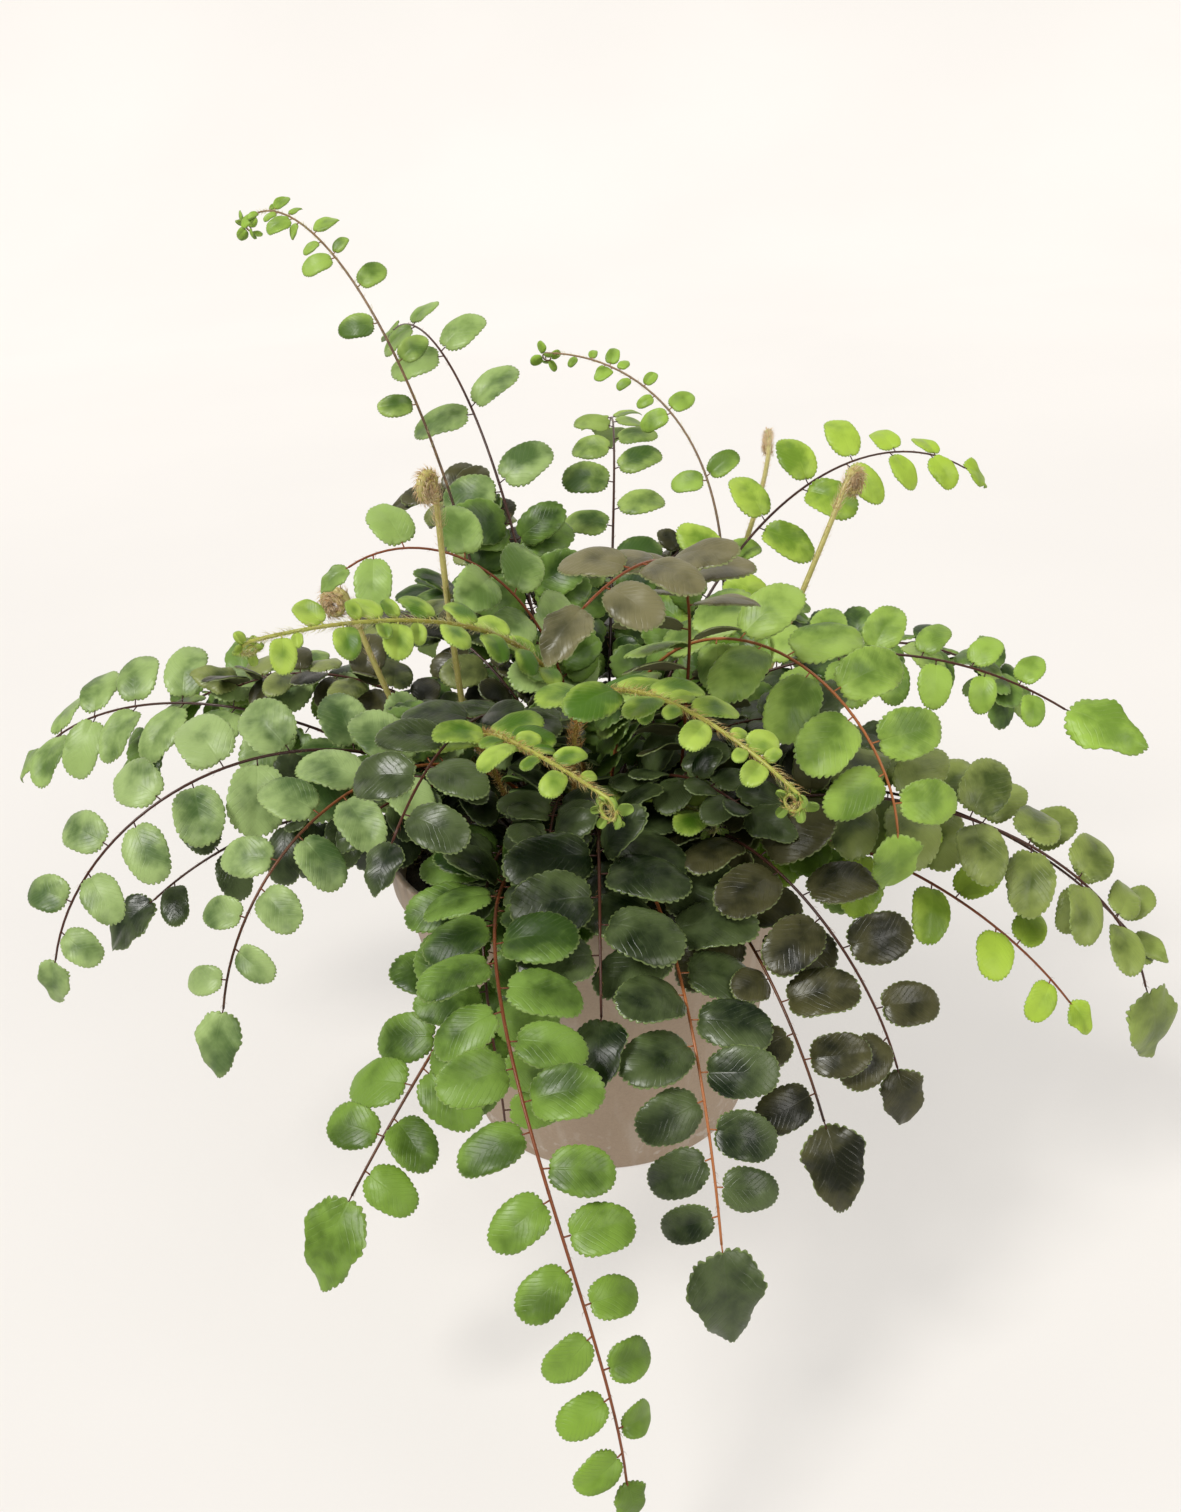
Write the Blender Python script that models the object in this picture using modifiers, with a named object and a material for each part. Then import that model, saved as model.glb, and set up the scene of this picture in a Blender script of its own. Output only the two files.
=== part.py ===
"""A potted button fern: a round pot, its potting mix, the fronds and the young croziers.

Metres, +Z up. The origin is the middle of the pot's underside, and the side that faces -Y is
the one with the long hanging fronds.
"""

import math
import random
from collections import namedtuple

import bmesh
import bpy
from mathutils import Matrix, Vector, noise
from mathutils.bvhtree import BVHTree

MM = 0.001

# Pot
POT_HEIGHT = 97 * MM
POT_RIM_RADIUS = 61 * MM
POT_FOOT_RADIUS = 42 * MM
POT_WALL = 1.6 * MM
COLLAR_HEIGHT = 12 * MM
COLLAR_STEP = 2.4 * MM
POT_STEPS = 30
DRAIN_COUNT = 5
DRAIN_RADIUS = 3.5 * MM
DRAIN_CIRCLE = 27 * MM

# Potting mix
MIX_TOP = 86 * MM
MIX_BUMP = 1.2 * MM
SEAT_GAP = 0.3 * MM
HOLE_DEPTH = 9 * MM
HOLE_HALF = 1.5 * MM
ROOT_DEPTH = 7.5 * MM
ROOT_SPACING = 4.8 * MM
ROOT_CIRCLE = 44 * MM
ROOT_TRIES = 480

# Fronds
STALK_HALF = 0.85 * MM
STALK_HALF_TIP = 0.45 * MM
STALK_THICK = 1.5 * MM
BLADE_THICK = 0.62 * MM
BLADE_FOOT = 1.3 * MM
SMALL_BLADE = 12 * MM
BARE_PIECE = 21 * MM
TIP_HOLD = 0.92
ARC_STEPS = 48
CLEAR = 0.55 * MM
FLOOR_GAP = 1.0 * MM
STALK_CLEAR = 0.9 * MM

# Leaflets turn part of the way towards the light, which comes from above and in front
LIGHT = Vector((0.0, -0.6, 0.8))
SEEK = 0.5
SEEK_LIMIT = math.radians(32)

# Croziers
CROZIER_RADIUS = 1.15 * MM
HOOK_RADIUS = 4.2 * MM
HOOK_POINTS = 7

# heading and angles in degrees, lengths in mm; rise and fall are the stalk's slope at the soil
# and at the tip, bend says how late it arches over, sway how far its heading turns on the way;
# bare is the share without leaflets; pair is how far the leaflets of a pair stand apart, from 0
# for opposite to 1 for alternate, and negative where the first one is on the right; taper is the
# size of the last leaflets against the largest
Frond = namedtuple("Frond", "name tone heading root length rise fall bend sway twist bare count pair "
                            "leaf taper tip")

FRONDS = (
    Frond("frond_front_long", "bright", -114, 26, 226, 55, -95, 1.0, 66, 0, 0.2, 24, 0.9, 19, 0.65, 11),
    Frond("frond_front_drop", "dark", -77, 21, 172, 59, -81, 0.85, -12, 5, 0.24, 17, -1, 22, 0.7, 25),
    Frond("frond_front_right", "olive", -65, 15, 151, 60, -65, 0.8, -8, -10, 0.15, 15, -0.9, 20, 0.95, 21),
    Frond("frond_front_left", "mid", -108, 21, 147, 65, -50, 0.45, -30, 10, 0.15, 15, 0.7, 21, 0.85, 24),
    Frond("frond_right_low", "olive", -46, 25, 201, 62, -95, 1.05, 55, -20, 0.19, 17, 0.1, 21, 0.8, 26),
    Frond("frond_right_middle", "olive", -21, 18, 165, 62, -53, 0.75, -7, -35, 0.28, 15, 0.3, 20, 0.75, 13),
    Frond("frond_right_high", "mid", 7, 3, 181, 82, -38, 0.8, -42, -35, 0.28, 16, 0.6, 18, 0.6, 23),
    Frond("frond_right_front", "bright", -43, 22, 151, 65, -59, 0.7, 24, -20, 0.21, 11, -0.7, 20, 0.7, 11),
    Frond("frond_right_arch", "mid", -48, 8, 192, 90, -111, 1.55, -2, -20, 0.23, 17, 1, 20, 1.05, 18),
    Frond("frond_front_corner", "dark", -64, 19, 152, 67, -84, 1.0, 13, -10, 0.26, 12, 0.9, 20, 0.95, 16),
    Frond("frond_front_middle", "dark", -85, 23, 130, 73, -81, 1.2, -12, 0, 0.34, 9, 1, 23, 0.95, 18),
    Frond("frond_left_long", "mid", 201, 17, 190, 64, -85, 1.3, 4, 35, 0.27, 14, -1.0, 21, 0.75, 14),
    Frond("frond_left_high", "mid", 184, 29, 182, 63, -50, 1.05, -32, 30, 0.22, 16, 0.1, 21, 1.0, 14),
    Frond("frond_left_front", "mid", 217, 8, 176, 70, -90, 1.25, 16, 25, 0.19, 16, 1, 22, 0.6, 17),
    Frond("frond_tall_left", "bright", 129, 30, 259, 79, -30, 2.35, -6, 30, 0.48, 9, 1, 12, 0.6, 8),
    Frond("frond_back_left", "mid", 111, 21, 221, 80, -33, 1.9, 2, 25, 0.44, 8, 0.2, 20, 0.65, 13),
    Frond("frond_back_thin", "mid", 32, 32, 192, 62, -5, 2.4, 134, 30, 0.39, 8, 0.1, 13, 0.5, 7),
    Frond("frond_back_right", "bright", 47, 18, 224, 76, -39, 1.05, -13, -35, 0.25, 14, -0.3, 19, 0.8, 16),
    Frond("frond_back_middle", "mid", 75, 19, 210, 73, -45, 1.45, 19, 0, 0.34, 13, 0.7, 17, 0.7, 18),
    Frond("frond_over_top", "olive", -46, 24, 182, 83, -41, 2.4, -92, 0, 0.38, 13, 0.6, 18, 0.95, 15),
    Frond("frond_young_middle", "bright", -103, 28, 169, 88, -39, 1.4, 63, 0, 0.5, 10, 0.7, 16, 0.45, 5),
    Frond("frond_young_curl", "bright", -131, 24, 154, 75, -19, 1.35, 90, 0, 0.45, 8, 0.5, 15, 0.45, 5),
    Frond("frond_young_right", "bright", -77, 19, 80, 78, -33, 1.4, 43, 0, 0.24, 9, -1, 15, 1.05, 8),
    Frond("frond_upper_left", "mid", 160, 2, 144, 90, -45, 2.5, 46, 35, 0.15, 13, 1.0, 18, 1.05, 10),
    Frond("frond_young_left", "bright", 276, 2, 178, 90, -4, 1.0, -74, 30, 0.45, 13, 0.6, 10, 1.05, 5),
    Frond("frond_left_back", "dark", 185, 16, 137, 73, -45, 0.65, 16, 30, 0.28, 9, 0.3, 19, 0.75, 20),
    Frond("frond_left_dark", "dark", 255, 14, 159, 77, -46, 1.4, -9, 0, 0.4, 11, 0.5, 18, 1.05, 13),
    Frond("frond_front_low", "bright", -126, 19, 142, 70, -111, 1.05, 61, 0, 0.27, 15, 1, 19, 0.9, 12),
)

FILL_SEED = 11
FILL_BACK = 5
# heading in degrees and length in mm of the short fronds round the crown
CROWN = ((-165, 105), (140, 135), (-95, 90), (170, 125), (-30, 110), (108, 150), (-130, 95), (75, 140),
         (-60, 100))

Crozier = namedtuple("Crozier", "name heading root length rise fall bend sway")

CROZIERS = (
    Crozier("crozier_left", 192, 30, 117, 84, 92, 1.2, 50),
    Crozier("crozier_right", 16, 34, 113, 63, 52, 1.4, 30),
    Crozier("crozier_back", 45, 27, 171, 66, 2, 0.8, 39),
    Crozier("crozier_small", 188, 34, 89, 69, 75, 1.0, -28),
)

COLOURS = {
    "pot": (0.36, 0.27, 0.21),
    "mix": (0.020, 0.011, 0.008),
    "dark": (0.020, 0.045, 0.022),
    "olive": (0.055, 0.070, 0.026),
    "mid": (0.080, 0.160, 0.050),
    "bright": (0.170, 0.330, 0.045),
    "hairy": (0.260, 0.290, 0.090),
}


def filling_fronds():
    """The fronds that the front ones hide: long ones behind, short ones all round the crown."""
    draw = random.Random(FILL_SEED)
    fronds = []
    for index in range(FILL_BACK):
        heading = 14 + index * 36 + draw.uniform(-6, 6)
        length = draw.uniform(150, 185)
        fronds.append(Frond(f"frond_behind_{index + 1}", "mid", heading, 12, length, 74,
                            draw.uniform(-80, -60), 1.0, draw.uniform(-12, 12), 0, 0.36, 8, -1.0,
                            17, 0.85, 18))
    for index, (heading, length) in enumerate(CROWN):
        root = draw.uniform(4, 24)
        tone = ("dark", "olive")[index % 2]
        fronds.append(Frond(f"frond_crown_{index + 1}", tone, heading, root, length, 80,
                            draw.uniform(-60, -15), 1.25, draw.uniform(-20, 20), 0, 0.34, 7, -1.0,
                            16, 0.90, 15))
    return fronds


def way_at(frond, share):
    """Heading and slope of a stalk, in radians, at a share of its length."""
    heading = math.radians(frond.heading + frond.sway * share)
    slope = math.radians(frond.rise + (frond.fall - frond.rise) * share ** frond.bend)
    return heading, slope


def stalk_line(frond, shift):
    """Points along a stalk from the soil to its tip."""
    root = frond.root * MM
    start = math.radians(frond.heading)
    point = Vector((root * math.cos(start), root * math.sin(start), MIX_TOP)) + shift
    line = [point.copy()]
    step = frond.length * MM / ARC_STEPS
    for index in range(ARC_STEPS):
        heading, slope = way_at(frond, (index + 0.5) / ARC_STEPS)
        flat = math.cos(slope)
        point += step * Vector((flat * math.cos(heading), flat * math.sin(heading), math.sin(slope)))
        line.append(point.copy())
    return line


class Stalk:
    """A placed stalk: where it runs, and its directions at a share of its length."""

    def __init__(self, frond, shift):
        self.frond = frond
        self.line = stalk_line(frond, shift)
        self.length = frond.length * MM
        self.end = 1.0 - TIP_HOLD * frond.tip / frond.length

    def at(self, share):
        place = min(max(share, 0.0), 1.0) * ARC_STEPS
        index = min(int(place), ARC_STEPS - 1)
        point = self.line[index].lerp(self.line[index + 1], place - index)
        heading, slope = way_at(self.frond, share)
        along = Vector((math.cos(slope) * math.cos(heading), math.cos(slope) * math.sin(heading),
                        math.sin(slope)))
        level = Vector((-math.sin(heading), math.cos(heading), 0.0))
        lean = math.radians(self.frond.twist) * min(1.0, share / self.frond.bare)
        side = Matrix.Rotation(-lean, 3, along) @ level
        return point, along, side, along.cross(side)

    def half_width(self, share):
        return STALK_HALF + (STALK_HALF_TIP - STALK_HALF) * share

    def skin(self, extra):
        """A closed square tube round the stalk, for the clearance tests."""
        points = []
        rings = ARC_STEPS // 2
        for ring in range(rings + 1):
            share = self.end * ring / rings
            point, along, side, up = self.at(share)
            reach = self.half_width(share) + extra
            for across, above in ((1, 1), (-1, 1), (-1, -1), (1, -1)):
                points.append(point + reach * (across * side + above * up))
        faces = [(3, 2, 1, 0), tuple(4 * rings + corner for corner in range(4))]
        for ring in range(rings):
            for corner in range(4):
                first = 4 * ring + corner
                second = 4 * ring + (corner + 1) % 4
                faces.append((first, second, second + 4, first + 4))
        return points, faces


class Blade:
    """A leaflet: where it sits on its stalk, its frame and its size."""

    def __init__(self, stalk, share, hand, length, width, forward, lift, roll):
        self.share = share
        self.hand = hand
        self.length = length
        self.width = width
        point, along, side, up = stalk.at(share)
        if hand:
            outward = hand * side
            self.foot = point + outward * stalk.half_width(share)
            reach = outward * math.cos(forward) + along * math.sin(forward)
            reach = Matrix.Rotation(lift, 3, reach.cross(up)) @ reach
        else:
            self.foot = point
            reach = Matrix.Rotation(lift, 3, along.cross(up)) @ along
        self.reach = reach.normalized()
        face = (up - up.dot(self.reach) * self.reach).normalized()
        light = (LIGHT - LIGHT.dot(self.reach) * self.reach).normalized()
        seek = math.atan2(face.cross(light).dot(self.reach), face.dot(light))
        seek = max(-SEEK_LIMIT, min(SEEK_LIMIT, SEEK * seek))
        self.face = Matrix.Rotation(roll + seek, 3, self.reach) @ face
        self.across = self.face.cross(self.reach)

    def spot(self, along, across, above=0.0):
        """A point of the blade, from shares of its length and half width."""
        arch = 0.16 * math.sin(math.pi * min(along, 1.0)) - 0.10 * along * along
        return (self.foot + self.reach * (self.length * along)
                + self.across * (0.5 * self.width * across)
                + self.face * (self.length * arch * 0.6 + above))

    def rim(self, grow=0.0, above=0.0):
        """The coarse outline: one or two points on each side, and the tip."""
        swell = 1.0 + 2.0 * grow / self.width
        end = 1.0 + grow / self.length
        rows = ((0.46, 0.98),) if self.length < SMALL_BLADE else ((0.20, 0.86), (0.72, 0.88))
        right = [self.spot(along, across * swell, above) for along, across in rows]
        left = [self.spot(along, -across * swell, above) for along, across in rows]
        return right, self.spot(end, 0.0, above), left

    def skin(self, extra):
        """A closed slab round the blade, for the clearance tests."""
        half = 0.5 * BLADE_THICK + extra
        points = []
        foot = BLADE_FOOT / self.width
        for above in (half, -half):
            right, end, left = self.rim(extra, above)
            near = [self.spot(0.0, side, above) for side in (-foot, foot)]
            points += [*near, *right, end, *reversed(left)]
        count = len(points) // 2
        faces = [tuple(range(count)), tuple(range(2 * count - 1, count - 1, -1))]
        for corner in range(count):
            after = (corner + 1) % count
            faces.append((corner, corner + count, after + count, after))
        return points, faces


class Crowd:
    """Everything placed so far, for the clearance tests."""

    def __init__(self):
        self.members = []

    def add(self, owner, points, faces):
        middle = sum(points, Vector()) / len(points)
        radius = max((point - middle).length for point in points)
        self.members.append((owner, middle, radius, BVHTree.FromPolygons(points, faces)))

    def clear(self, points, faces, but=None):
        """True where the shape crosses nothing placed so far, except what its owner placed."""
        middle = sum(points, Vector()) / len(points)
        radius = max((point - middle).length for point in points)
        tree = None
        for owner, other, reach, placed in self.members:
            if owner == but or (other - middle).length > radius + reach:
                continue
            tree = tree or BVHTree.FromPolygons(points, faces)
            if tree.overlap(placed):
                return False
        return True


def holder_skin(extra):
    """The outside of the pot, its rim and the surface of the mix, for the clearance tests."""
    rings = ((0.0, MIX_TOP + MIX_BUMP + extra), (POT_RIM_RADIUS - 4 * MM, MIX_TOP + MIX_BUMP + extra),
             (POT_RIM_RADIUS - 3 * MM, POT_HEIGHT + extra), (POT_RIM_RADIUS + extra, POT_HEIGHT + extra),
             (POT_RIM_RADIUS + extra, POT_HEIGHT - COLLAR_HEIGHT - extra),
             (POT_RIM_RADIUS - COLLAR_STEP + extra, POT_HEIGHT - COLLAR_HEIGHT - extra),
             (POT_FOOT_RADIUS + 2 * extra, 0.0))
    points = []
    faces = []
    for radius, height in rings:
        for step in range(POT_STEPS):
            turn = 2 * math.pi * step / POT_STEPS
            points.append(Vector((radius * math.cos(turn), radius * math.sin(turn), height)))
    for ring in range(len(rings) - 1):
        for step in range(POT_STEPS):
            first = ring * POT_STEPS + step
            second = ring * POT_STEPS + (step + 1) % POT_STEPS
            faces.append((first, second, second + POT_STEPS, first + POT_STEPS))
    return points, faces


def tries(count, size):
    """Offsets that swing out from zero: 0, size, -size, 2 size, -2 size and so on."""
    return [size * ((index + 1) // 2) * (1 if index % 2 else -1) for index in range(count)]


def place_stalk(frond, crowd, roots):
    """Shifts a stalk's root along a spiral until it is clear of the stalks placed before it."""
    for index in range(ROOT_TRIES):
        reach = 0.9 * MM * math.sqrt(index)
        shift = Vector((reach * math.cos(2.4 * index), reach * math.sin(2.4 * index), 0.0))
        stalk = Stalk(frond, shift)
        root = stalk.line[0]
        if math.hypot(root.x, root.y) > ROOT_CIRCLE:
            continue
        if min(((root - other).length for other in roots), default=1.0) < ROOT_SPACING:
            continue
        if crowd.clear(*stalk.skin(STALK_CLEAR)):
            roots.append(root)
            crowd.add(frond.name, *stalk.skin(STALK_CLEAR))
            return stalk
    return None


def clear_blade(stalk, share, hand, size, draw, crowd, own):
    """A leaflet tilted, or made smaller, until it is clear; None where it never is."""
    length = size * MM
    width = length * (draw.uniform(0.68, 0.80) if hand else 0.70)
    forward = math.radians(draw.uniform(8, 24))
    lift = math.radians(draw.uniform(-16, 10))
    roll = math.radians(draw.uniform(-14, 14))
    for swell in (1.0, 0.86, 0.72):
        for tilt in tries(7, 13.0):
            blade = Blade(stalk, share, hand, length * swell, width * swell, forward,
                          lift + math.radians(tilt), roll)
            points, faces = blade.skin(0.1 * MM)
            if min(point.z for point in points) < FLOOR_GAP:
                continue
            if crowd.clear(points, faces, but=stalk.frond.name) and own.clear(points, faces):
                own.add(stalk.frond.name, points, faces)
                return blade
    return None


def place_blades(stalk, crowd, draw):
    """The leaflets of a frond, left and right in turn, and the one at its tip."""
    frond = stalk.frond
    own = Crowd()
    blades = []
    first = 1 if frond.pair > 0 else -1
    for index in range(frond.count + 1):
        hand = -first if index % 2 else first
        step = 2 * (index // 2) + abs(frond.pair) * (index % 2) + 0.4
        share = frond.bare + (stalk.end - 0.015 - frond.bare) * step / frond.count
        if index == frond.count:
            hand = 0
            share = stalk.end
        place = (share - frond.bare) / (stalk.end - frond.bare)
        size = frond.leaf * (0.84 + 0.16 * math.sin(math.pi * min(1.0, place + 0.15)))
        size *= 1.0 + (frond.taper - 1.0) * place ** 1.5
        size = size * draw.uniform(0.94, 1.06) if hand else frond.tip
        blade = clear_blade(stalk, share, hand, size, draw, crowd, own)
        if blade:
            blades.append(blade)
    for blade in blades:
        crowd.add(frond.name, *blade.skin(CLEAR))
    return blades


def grow():
    """Places every stalk first, then every leaflet, and returns them frond by frond."""
    crowd = Crowd()
    crowd.add("holder", *holder_skin(0.6 * MM))
    roots = []
    croziers = []
    stalks = []
    stalk_crowd = Crowd()
    for crozier in CROZIERS:
        slim = Frond(crozier.name, "hairy", *crozier[1:], 0, 1.0, 0, 0, 0, 1.0, 0)
        stalk = place_stalk(slim, stalk_crowd, roots)
        croziers.append(stalk)
    for frond in list(FRONDS) + filling_fronds():
        stalk = place_stalk(frond, stalk_crowd, roots)
        if stalk is None:
            print("no room for", frond.name)
            continue
        stalks.append(stalk)
    crowd.members += stalk_crowd.members
    for stalk in croziers:
        crowd.add(stalk.frond.name, *hook_skin(stalk))
    draw = random.Random(5)
    fronds = [(stalk, place_blades(stalk, crowd, draw)) for stalk in stalks]
    return fronds, croziers


def hook_line(stalk):
    """The curled end of a crozier, which turns over towards its own stem."""
    point, along, side, up = stalk.at(1.0)
    centre = point - up * HOOK_RADIUS
    line = []
    for index in range(1, HOOK_POINTS + 1):
        turn = math.radians(38) * index
        radius = HOOK_RADIUS * (1 - 0.055 * index)
        line.append(centre + radius * (math.cos(turn) * up + math.sin(turn) * along))
    return line


def hook_skin(stalk):
    """A box round a crozier's curled end."""
    point, along, side, up = stalk.at(1.0)
    reach = HOOK_RADIUS + 3.0 * MM
    middle = point - up * HOOK_RADIUS
    signs = [(a, b, c) for a in (-1, 1) for b in (-1, 1) for c in (-1, 1)]
    points = [middle + reach * (a * along + c * up) + 3.0 * MM * b * side for a, b, c in signs]
    faces = [(0, 1, 3, 2), (4, 6, 7, 5), (0, 4, 5, 1), (2, 3, 7, 6), (0, 2, 6, 4), (1, 5, 7, 3)]
    return points, faces


def material(name, colour, roughness):
    new = bpy.data.materials.new(name)
    new.use_nodes = True
    shader = new.node_tree.nodes["Principled BSDF"]
    shader.inputs["Base Color"].default_value = (*colour, 1.0)
    shader.inputs["Roughness"].default_value = roughness
    shader.inputs["Metallic"].default_value = 0.0
    return new


def add_object(name, data, collection, finish):
    thing = bpy.data.objects.new(name, data)
    if finish:
        data.materials.append(finish)
    collection.objects.link(thing)
    return thing


def turned(name, profile, collection, finish):
    """A turned body, from a profile of (radius, height) that runs down its outer side first."""
    mesh = bpy.data.meshes.new(name)
    edges = [(index, index + 1) for index in range(len(profile) - 1)]
    if profile[0][0] > 0:
        edges.append((len(profile) - 1, 0))
    mesh.from_pydata([(radius, 0.0, height) for radius, height in profile], edges, [])
    body = add_object(name, mesh, collection, finish)
    screw = body.modifiers.new("Turn", "SCREW")
    screw.steps = POT_STEPS
    screw.render_steps = POT_STEPS
    screw.use_merge_vertices = True
    screw.merge_threshold = 0.0001
    return body


def made_solid(thing):
    """Replaces an object's mesh by its evaluated one, so that it can be shaped further."""
    evaluated = thing.evaluated_get(bpy.context.evaluated_depsgraph_get())
    mesh = bpy.data.meshes.new_from_object(evaluated)
    thing.modifiers.clear()
    thing.data = mesh
    return thing


def cutter(name, mesh, collection):
    tool = add_object(name, mesh, collection, None)
    tool.hide_render = True
    tool.display_type = "WIRE"
    return tool


def cut(body, tool):
    boolean = body.modifiers.new("Holes", "BOOLEAN")
    boolean.operation = "DIFFERENCE"
    boolean.solver = "EXACT"
    boolean.object = tool


def inner_radius(height):
    """Inside radius of the pot's wall at a height."""
    top = POT_HEIGHT - COLLAR_HEIGHT
    foot = POT_FOOT_RADIUS + 1.2 * MM - POT_WALL
    shoulder = POT_RIM_RADIUS - 0.8 * MM - COLLAR_STEP - POT_WALL
    return foot + (shoulder - foot) * (height - POT_WALL) / (top - POT_WALL)


def make_pot(collection, tools):
    """The plain round plastic pot: a collar at the rim, a tapered wall and a drained floor."""
    under = POT_HEIGHT - COLLAR_HEIGHT
    profile = (
        (POT_RIM_RADIUS - 0.7 * MM, POT_HEIGHT),
        (POT_RIM_RADIUS, POT_HEIGHT - 0.8 * MM),
        (POT_RIM_RADIUS - 0.8 * MM, under),
        (POT_RIM_RADIUS - 0.8 * MM - COLLAR_STEP, under - 0.6 * MM),
        (POT_FOOT_RADIUS + 1.2 * MM, 1.3 * MM),
        (POT_FOOT_RADIUS, 0.0),
        (0.0, 0.0),
        (0.0, POT_WALL),
        (inner_radius(POT_WALL), POT_WALL),
        (inner_radius(under), under),
        (POT_RIM_RADIUS - 0.8 * MM - POT_WALL, under + 3 * MM),
        (POT_RIM_RADIUS - POT_WALL - 0.2 * MM, POT_HEIGHT - 0.4 * MM),
    )
    body = turned("pot", profile, collection, material("pot_plastic", COLOURS["pot"], 0.55))
    mesh = bpy.data.meshes.new("drain_cutter")
    shape = bmesh.new()
    for index in range(DRAIN_COUNT):
        turn = 2 * math.pi * (index + 0.25) / DRAIN_COUNT
        centre = Vector((DRAIN_CIRCLE * math.cos(turn), DRAIN_CIRCLE * math.sin(turn), POT_WALL / 2))
        bmesh.ops.create_cone(shape, cap_ends=True, segments=8, radius1=DRAIN_RADIUS,
                              radius2=DRAIN_RADIUS, depth=4 * POT_WALL, matrix=Matrix.Translation(centre))
    shape.to_mesh(mesh)
    shape.free()
    cut(body, cutter("drain_cutter", mesh, tools))
    body.data.shade_smooth()
    return body


def make_mix(collection, tools, stalks):
    """The potting mix that fills the pot, with a plain hole for each stalk."""
    edge = inner_radius(MIX_TOP - 1 * MM) - SEAT_GAP
    floor = POT_WALL + SEAT_GAP
    profile = (
        (0.0, MIX_TOP),
        (16 * MM, MIX_TOP),
        (34 * MM, MIX_TOP),
        (edge, MIX_TOP - 1 * MM),
        (inner_radius(floor) - SEAT_GAP, floor),
        (0.0, floor),
    )
    body = turned("potting_mix", profile, collection, material("peat_mix", COLOURS["mix"], 0.95))
    made_solid(body)
    for vertex in body.data.vertices:
        spot = vertex.co
        if spot.z > MIX_TOP - 0.5 * MM:
            spot.z += MIX_BUMP * 0.6 * noise.noise(Vector(spot) * 90)
    mesh = bpy.data.meshes.new("root_cutter")
    shape = bmesh.new()
    for stalk in stalks:
        root = stalk.line[0]
        heading = math.radians(stalk.frond.heading)
        place = Matrix.Translation((root.x, root.y, MIX_TOP - HOLE_DEPTH / 2 + 2 * MM))
        size = Matrix.Diagonal((2 * HOLE_HALF, 2 * HOLE_HALF, HOLE_DEPTH + 4 * MM, 1))
        bmesh.ops.create_cube(shape, size=1.0, matrix=place @ Matrix.Rotation(heading, 4, "Z") @ size)
    shape.to_mesh(mesh)
    shape.free()
    cut(body, cutter("root_cutter", mesh, tools))
    return body


def ribbon_stations(stalk, blades, hand):
    """Shares along one edge of the stalk, and the leaflet that starts at each, if one does."""
    frond = stalk.frond
    pieces = max(2, round(frond.bare * stalk.length / BARE_PIECE))
    shares = [(frond.bare * index / pieces, None) for index in range(pieces + 1)]
    half = 0.5 * BLADE_FOOT / stalk.length
    for blade in blades:
        if blade.hand == hand:
            shares.append((blade.share - half, blade))
            shares.append((blade.share + half, None))
    return shares


def make_frond(stalk, blades, collection, finish):
    """One frond: a stalk with its leaflets, as one thin arched surface that is given thickness."""
    shape = bmesh.new()
    thick = shape.verts.layers.deform.verify()

    def corner(point, weight):
        vertex = shape.verts.new(point)
        vertex[thick][0] = weight
        return vertex

    def edge(hand):
        start = stalk.line[0] + hand * stalk.at(0.0)[2] * stalk.half_width(0.0)
        chain = [(-1.0, corner(start - Vector((0, 0, ROOT_DEPTH)), 1.0), None)]
        for share, blade in ribbon_stations(stalk, blades, hand):
            point, along, side, up = stalk.at(share)
            weight = 1.0 - 0.5 * share
            chain.append((share, corner(point + hand * side * stalk.half_width(share), weight), blade))
        point, along, side, up = stalk.at(stalk.end)
        chain.append((stalk.end, corner(point + hand * side * stalk.half_width(stalk.end), 0.5), None))
        return chain

    left = edge(1)
    right = edge(-1)
    i = j = 0
    while i < len(left) - 1 or j < len(right) - 1:
        if j == len(right) - 1 or (i < len(left) - 1 and left[i + 1][0] <= right[j + 1][0]):
            shape.faces.new((left[i][1], right[j][1], left[i + 1][1]))
            i += 1
        else:
            shape.faces.new((left[i][1], right[j][1], right[j + 1][1]))
            j += 1

    def blade_faces(blade, near, far):
        rim_right, end, rim_left = blade.rim()
        near_rim, far_rim = (rim_right, rim_left) if blade.hand == 1 else (rim_left, rim_right)
        lower = [near] + [corner(point, 0.0) for point in near_rim]
        upper = [far] + [corner(point, 0.0) for point in far_rim]
        faces = [(lower[-1], upper[-1], corner(end, 0.0))]
        for row in range(len(near_rim)):
            faces.append((lower[row], upper[row], upper[row + 1]))
            faces.append((lower[row], upper[row + 1], lower[row + 1]))
        for face in faces:
            shape.faces.new(face if blade.hand == 1 else face[::-1])

    for chain in (left, right):
        for index, (share, vertex, blade) in enumerate(chain):
            if blade:
                blade_faces(blade, vertex, chain[index + 1][1])
    for blade in blades:
        if blade.hand == 0:
            blade_faces(blade, right[-1][1], left[-1][1])

    mesh = bpy.data.meshes.new(stalk.frond.name)
    shape.to_mesh(mesh)
    shape.free()
    body = add_object(stalk.frond.name, mesh, collection, finish)
    body.vertex_groups.new(name="thick")
    solid = body.modifiers.new("Thickness", "SOLIDIFY")
    solid.thickness = STALK_THICK
    solid.offset = 0.0
    solid.vertex_group = "thick"
    solid.thickness_vertex_group = BLADE_THICK / STALK_THICK
    return body


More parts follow.
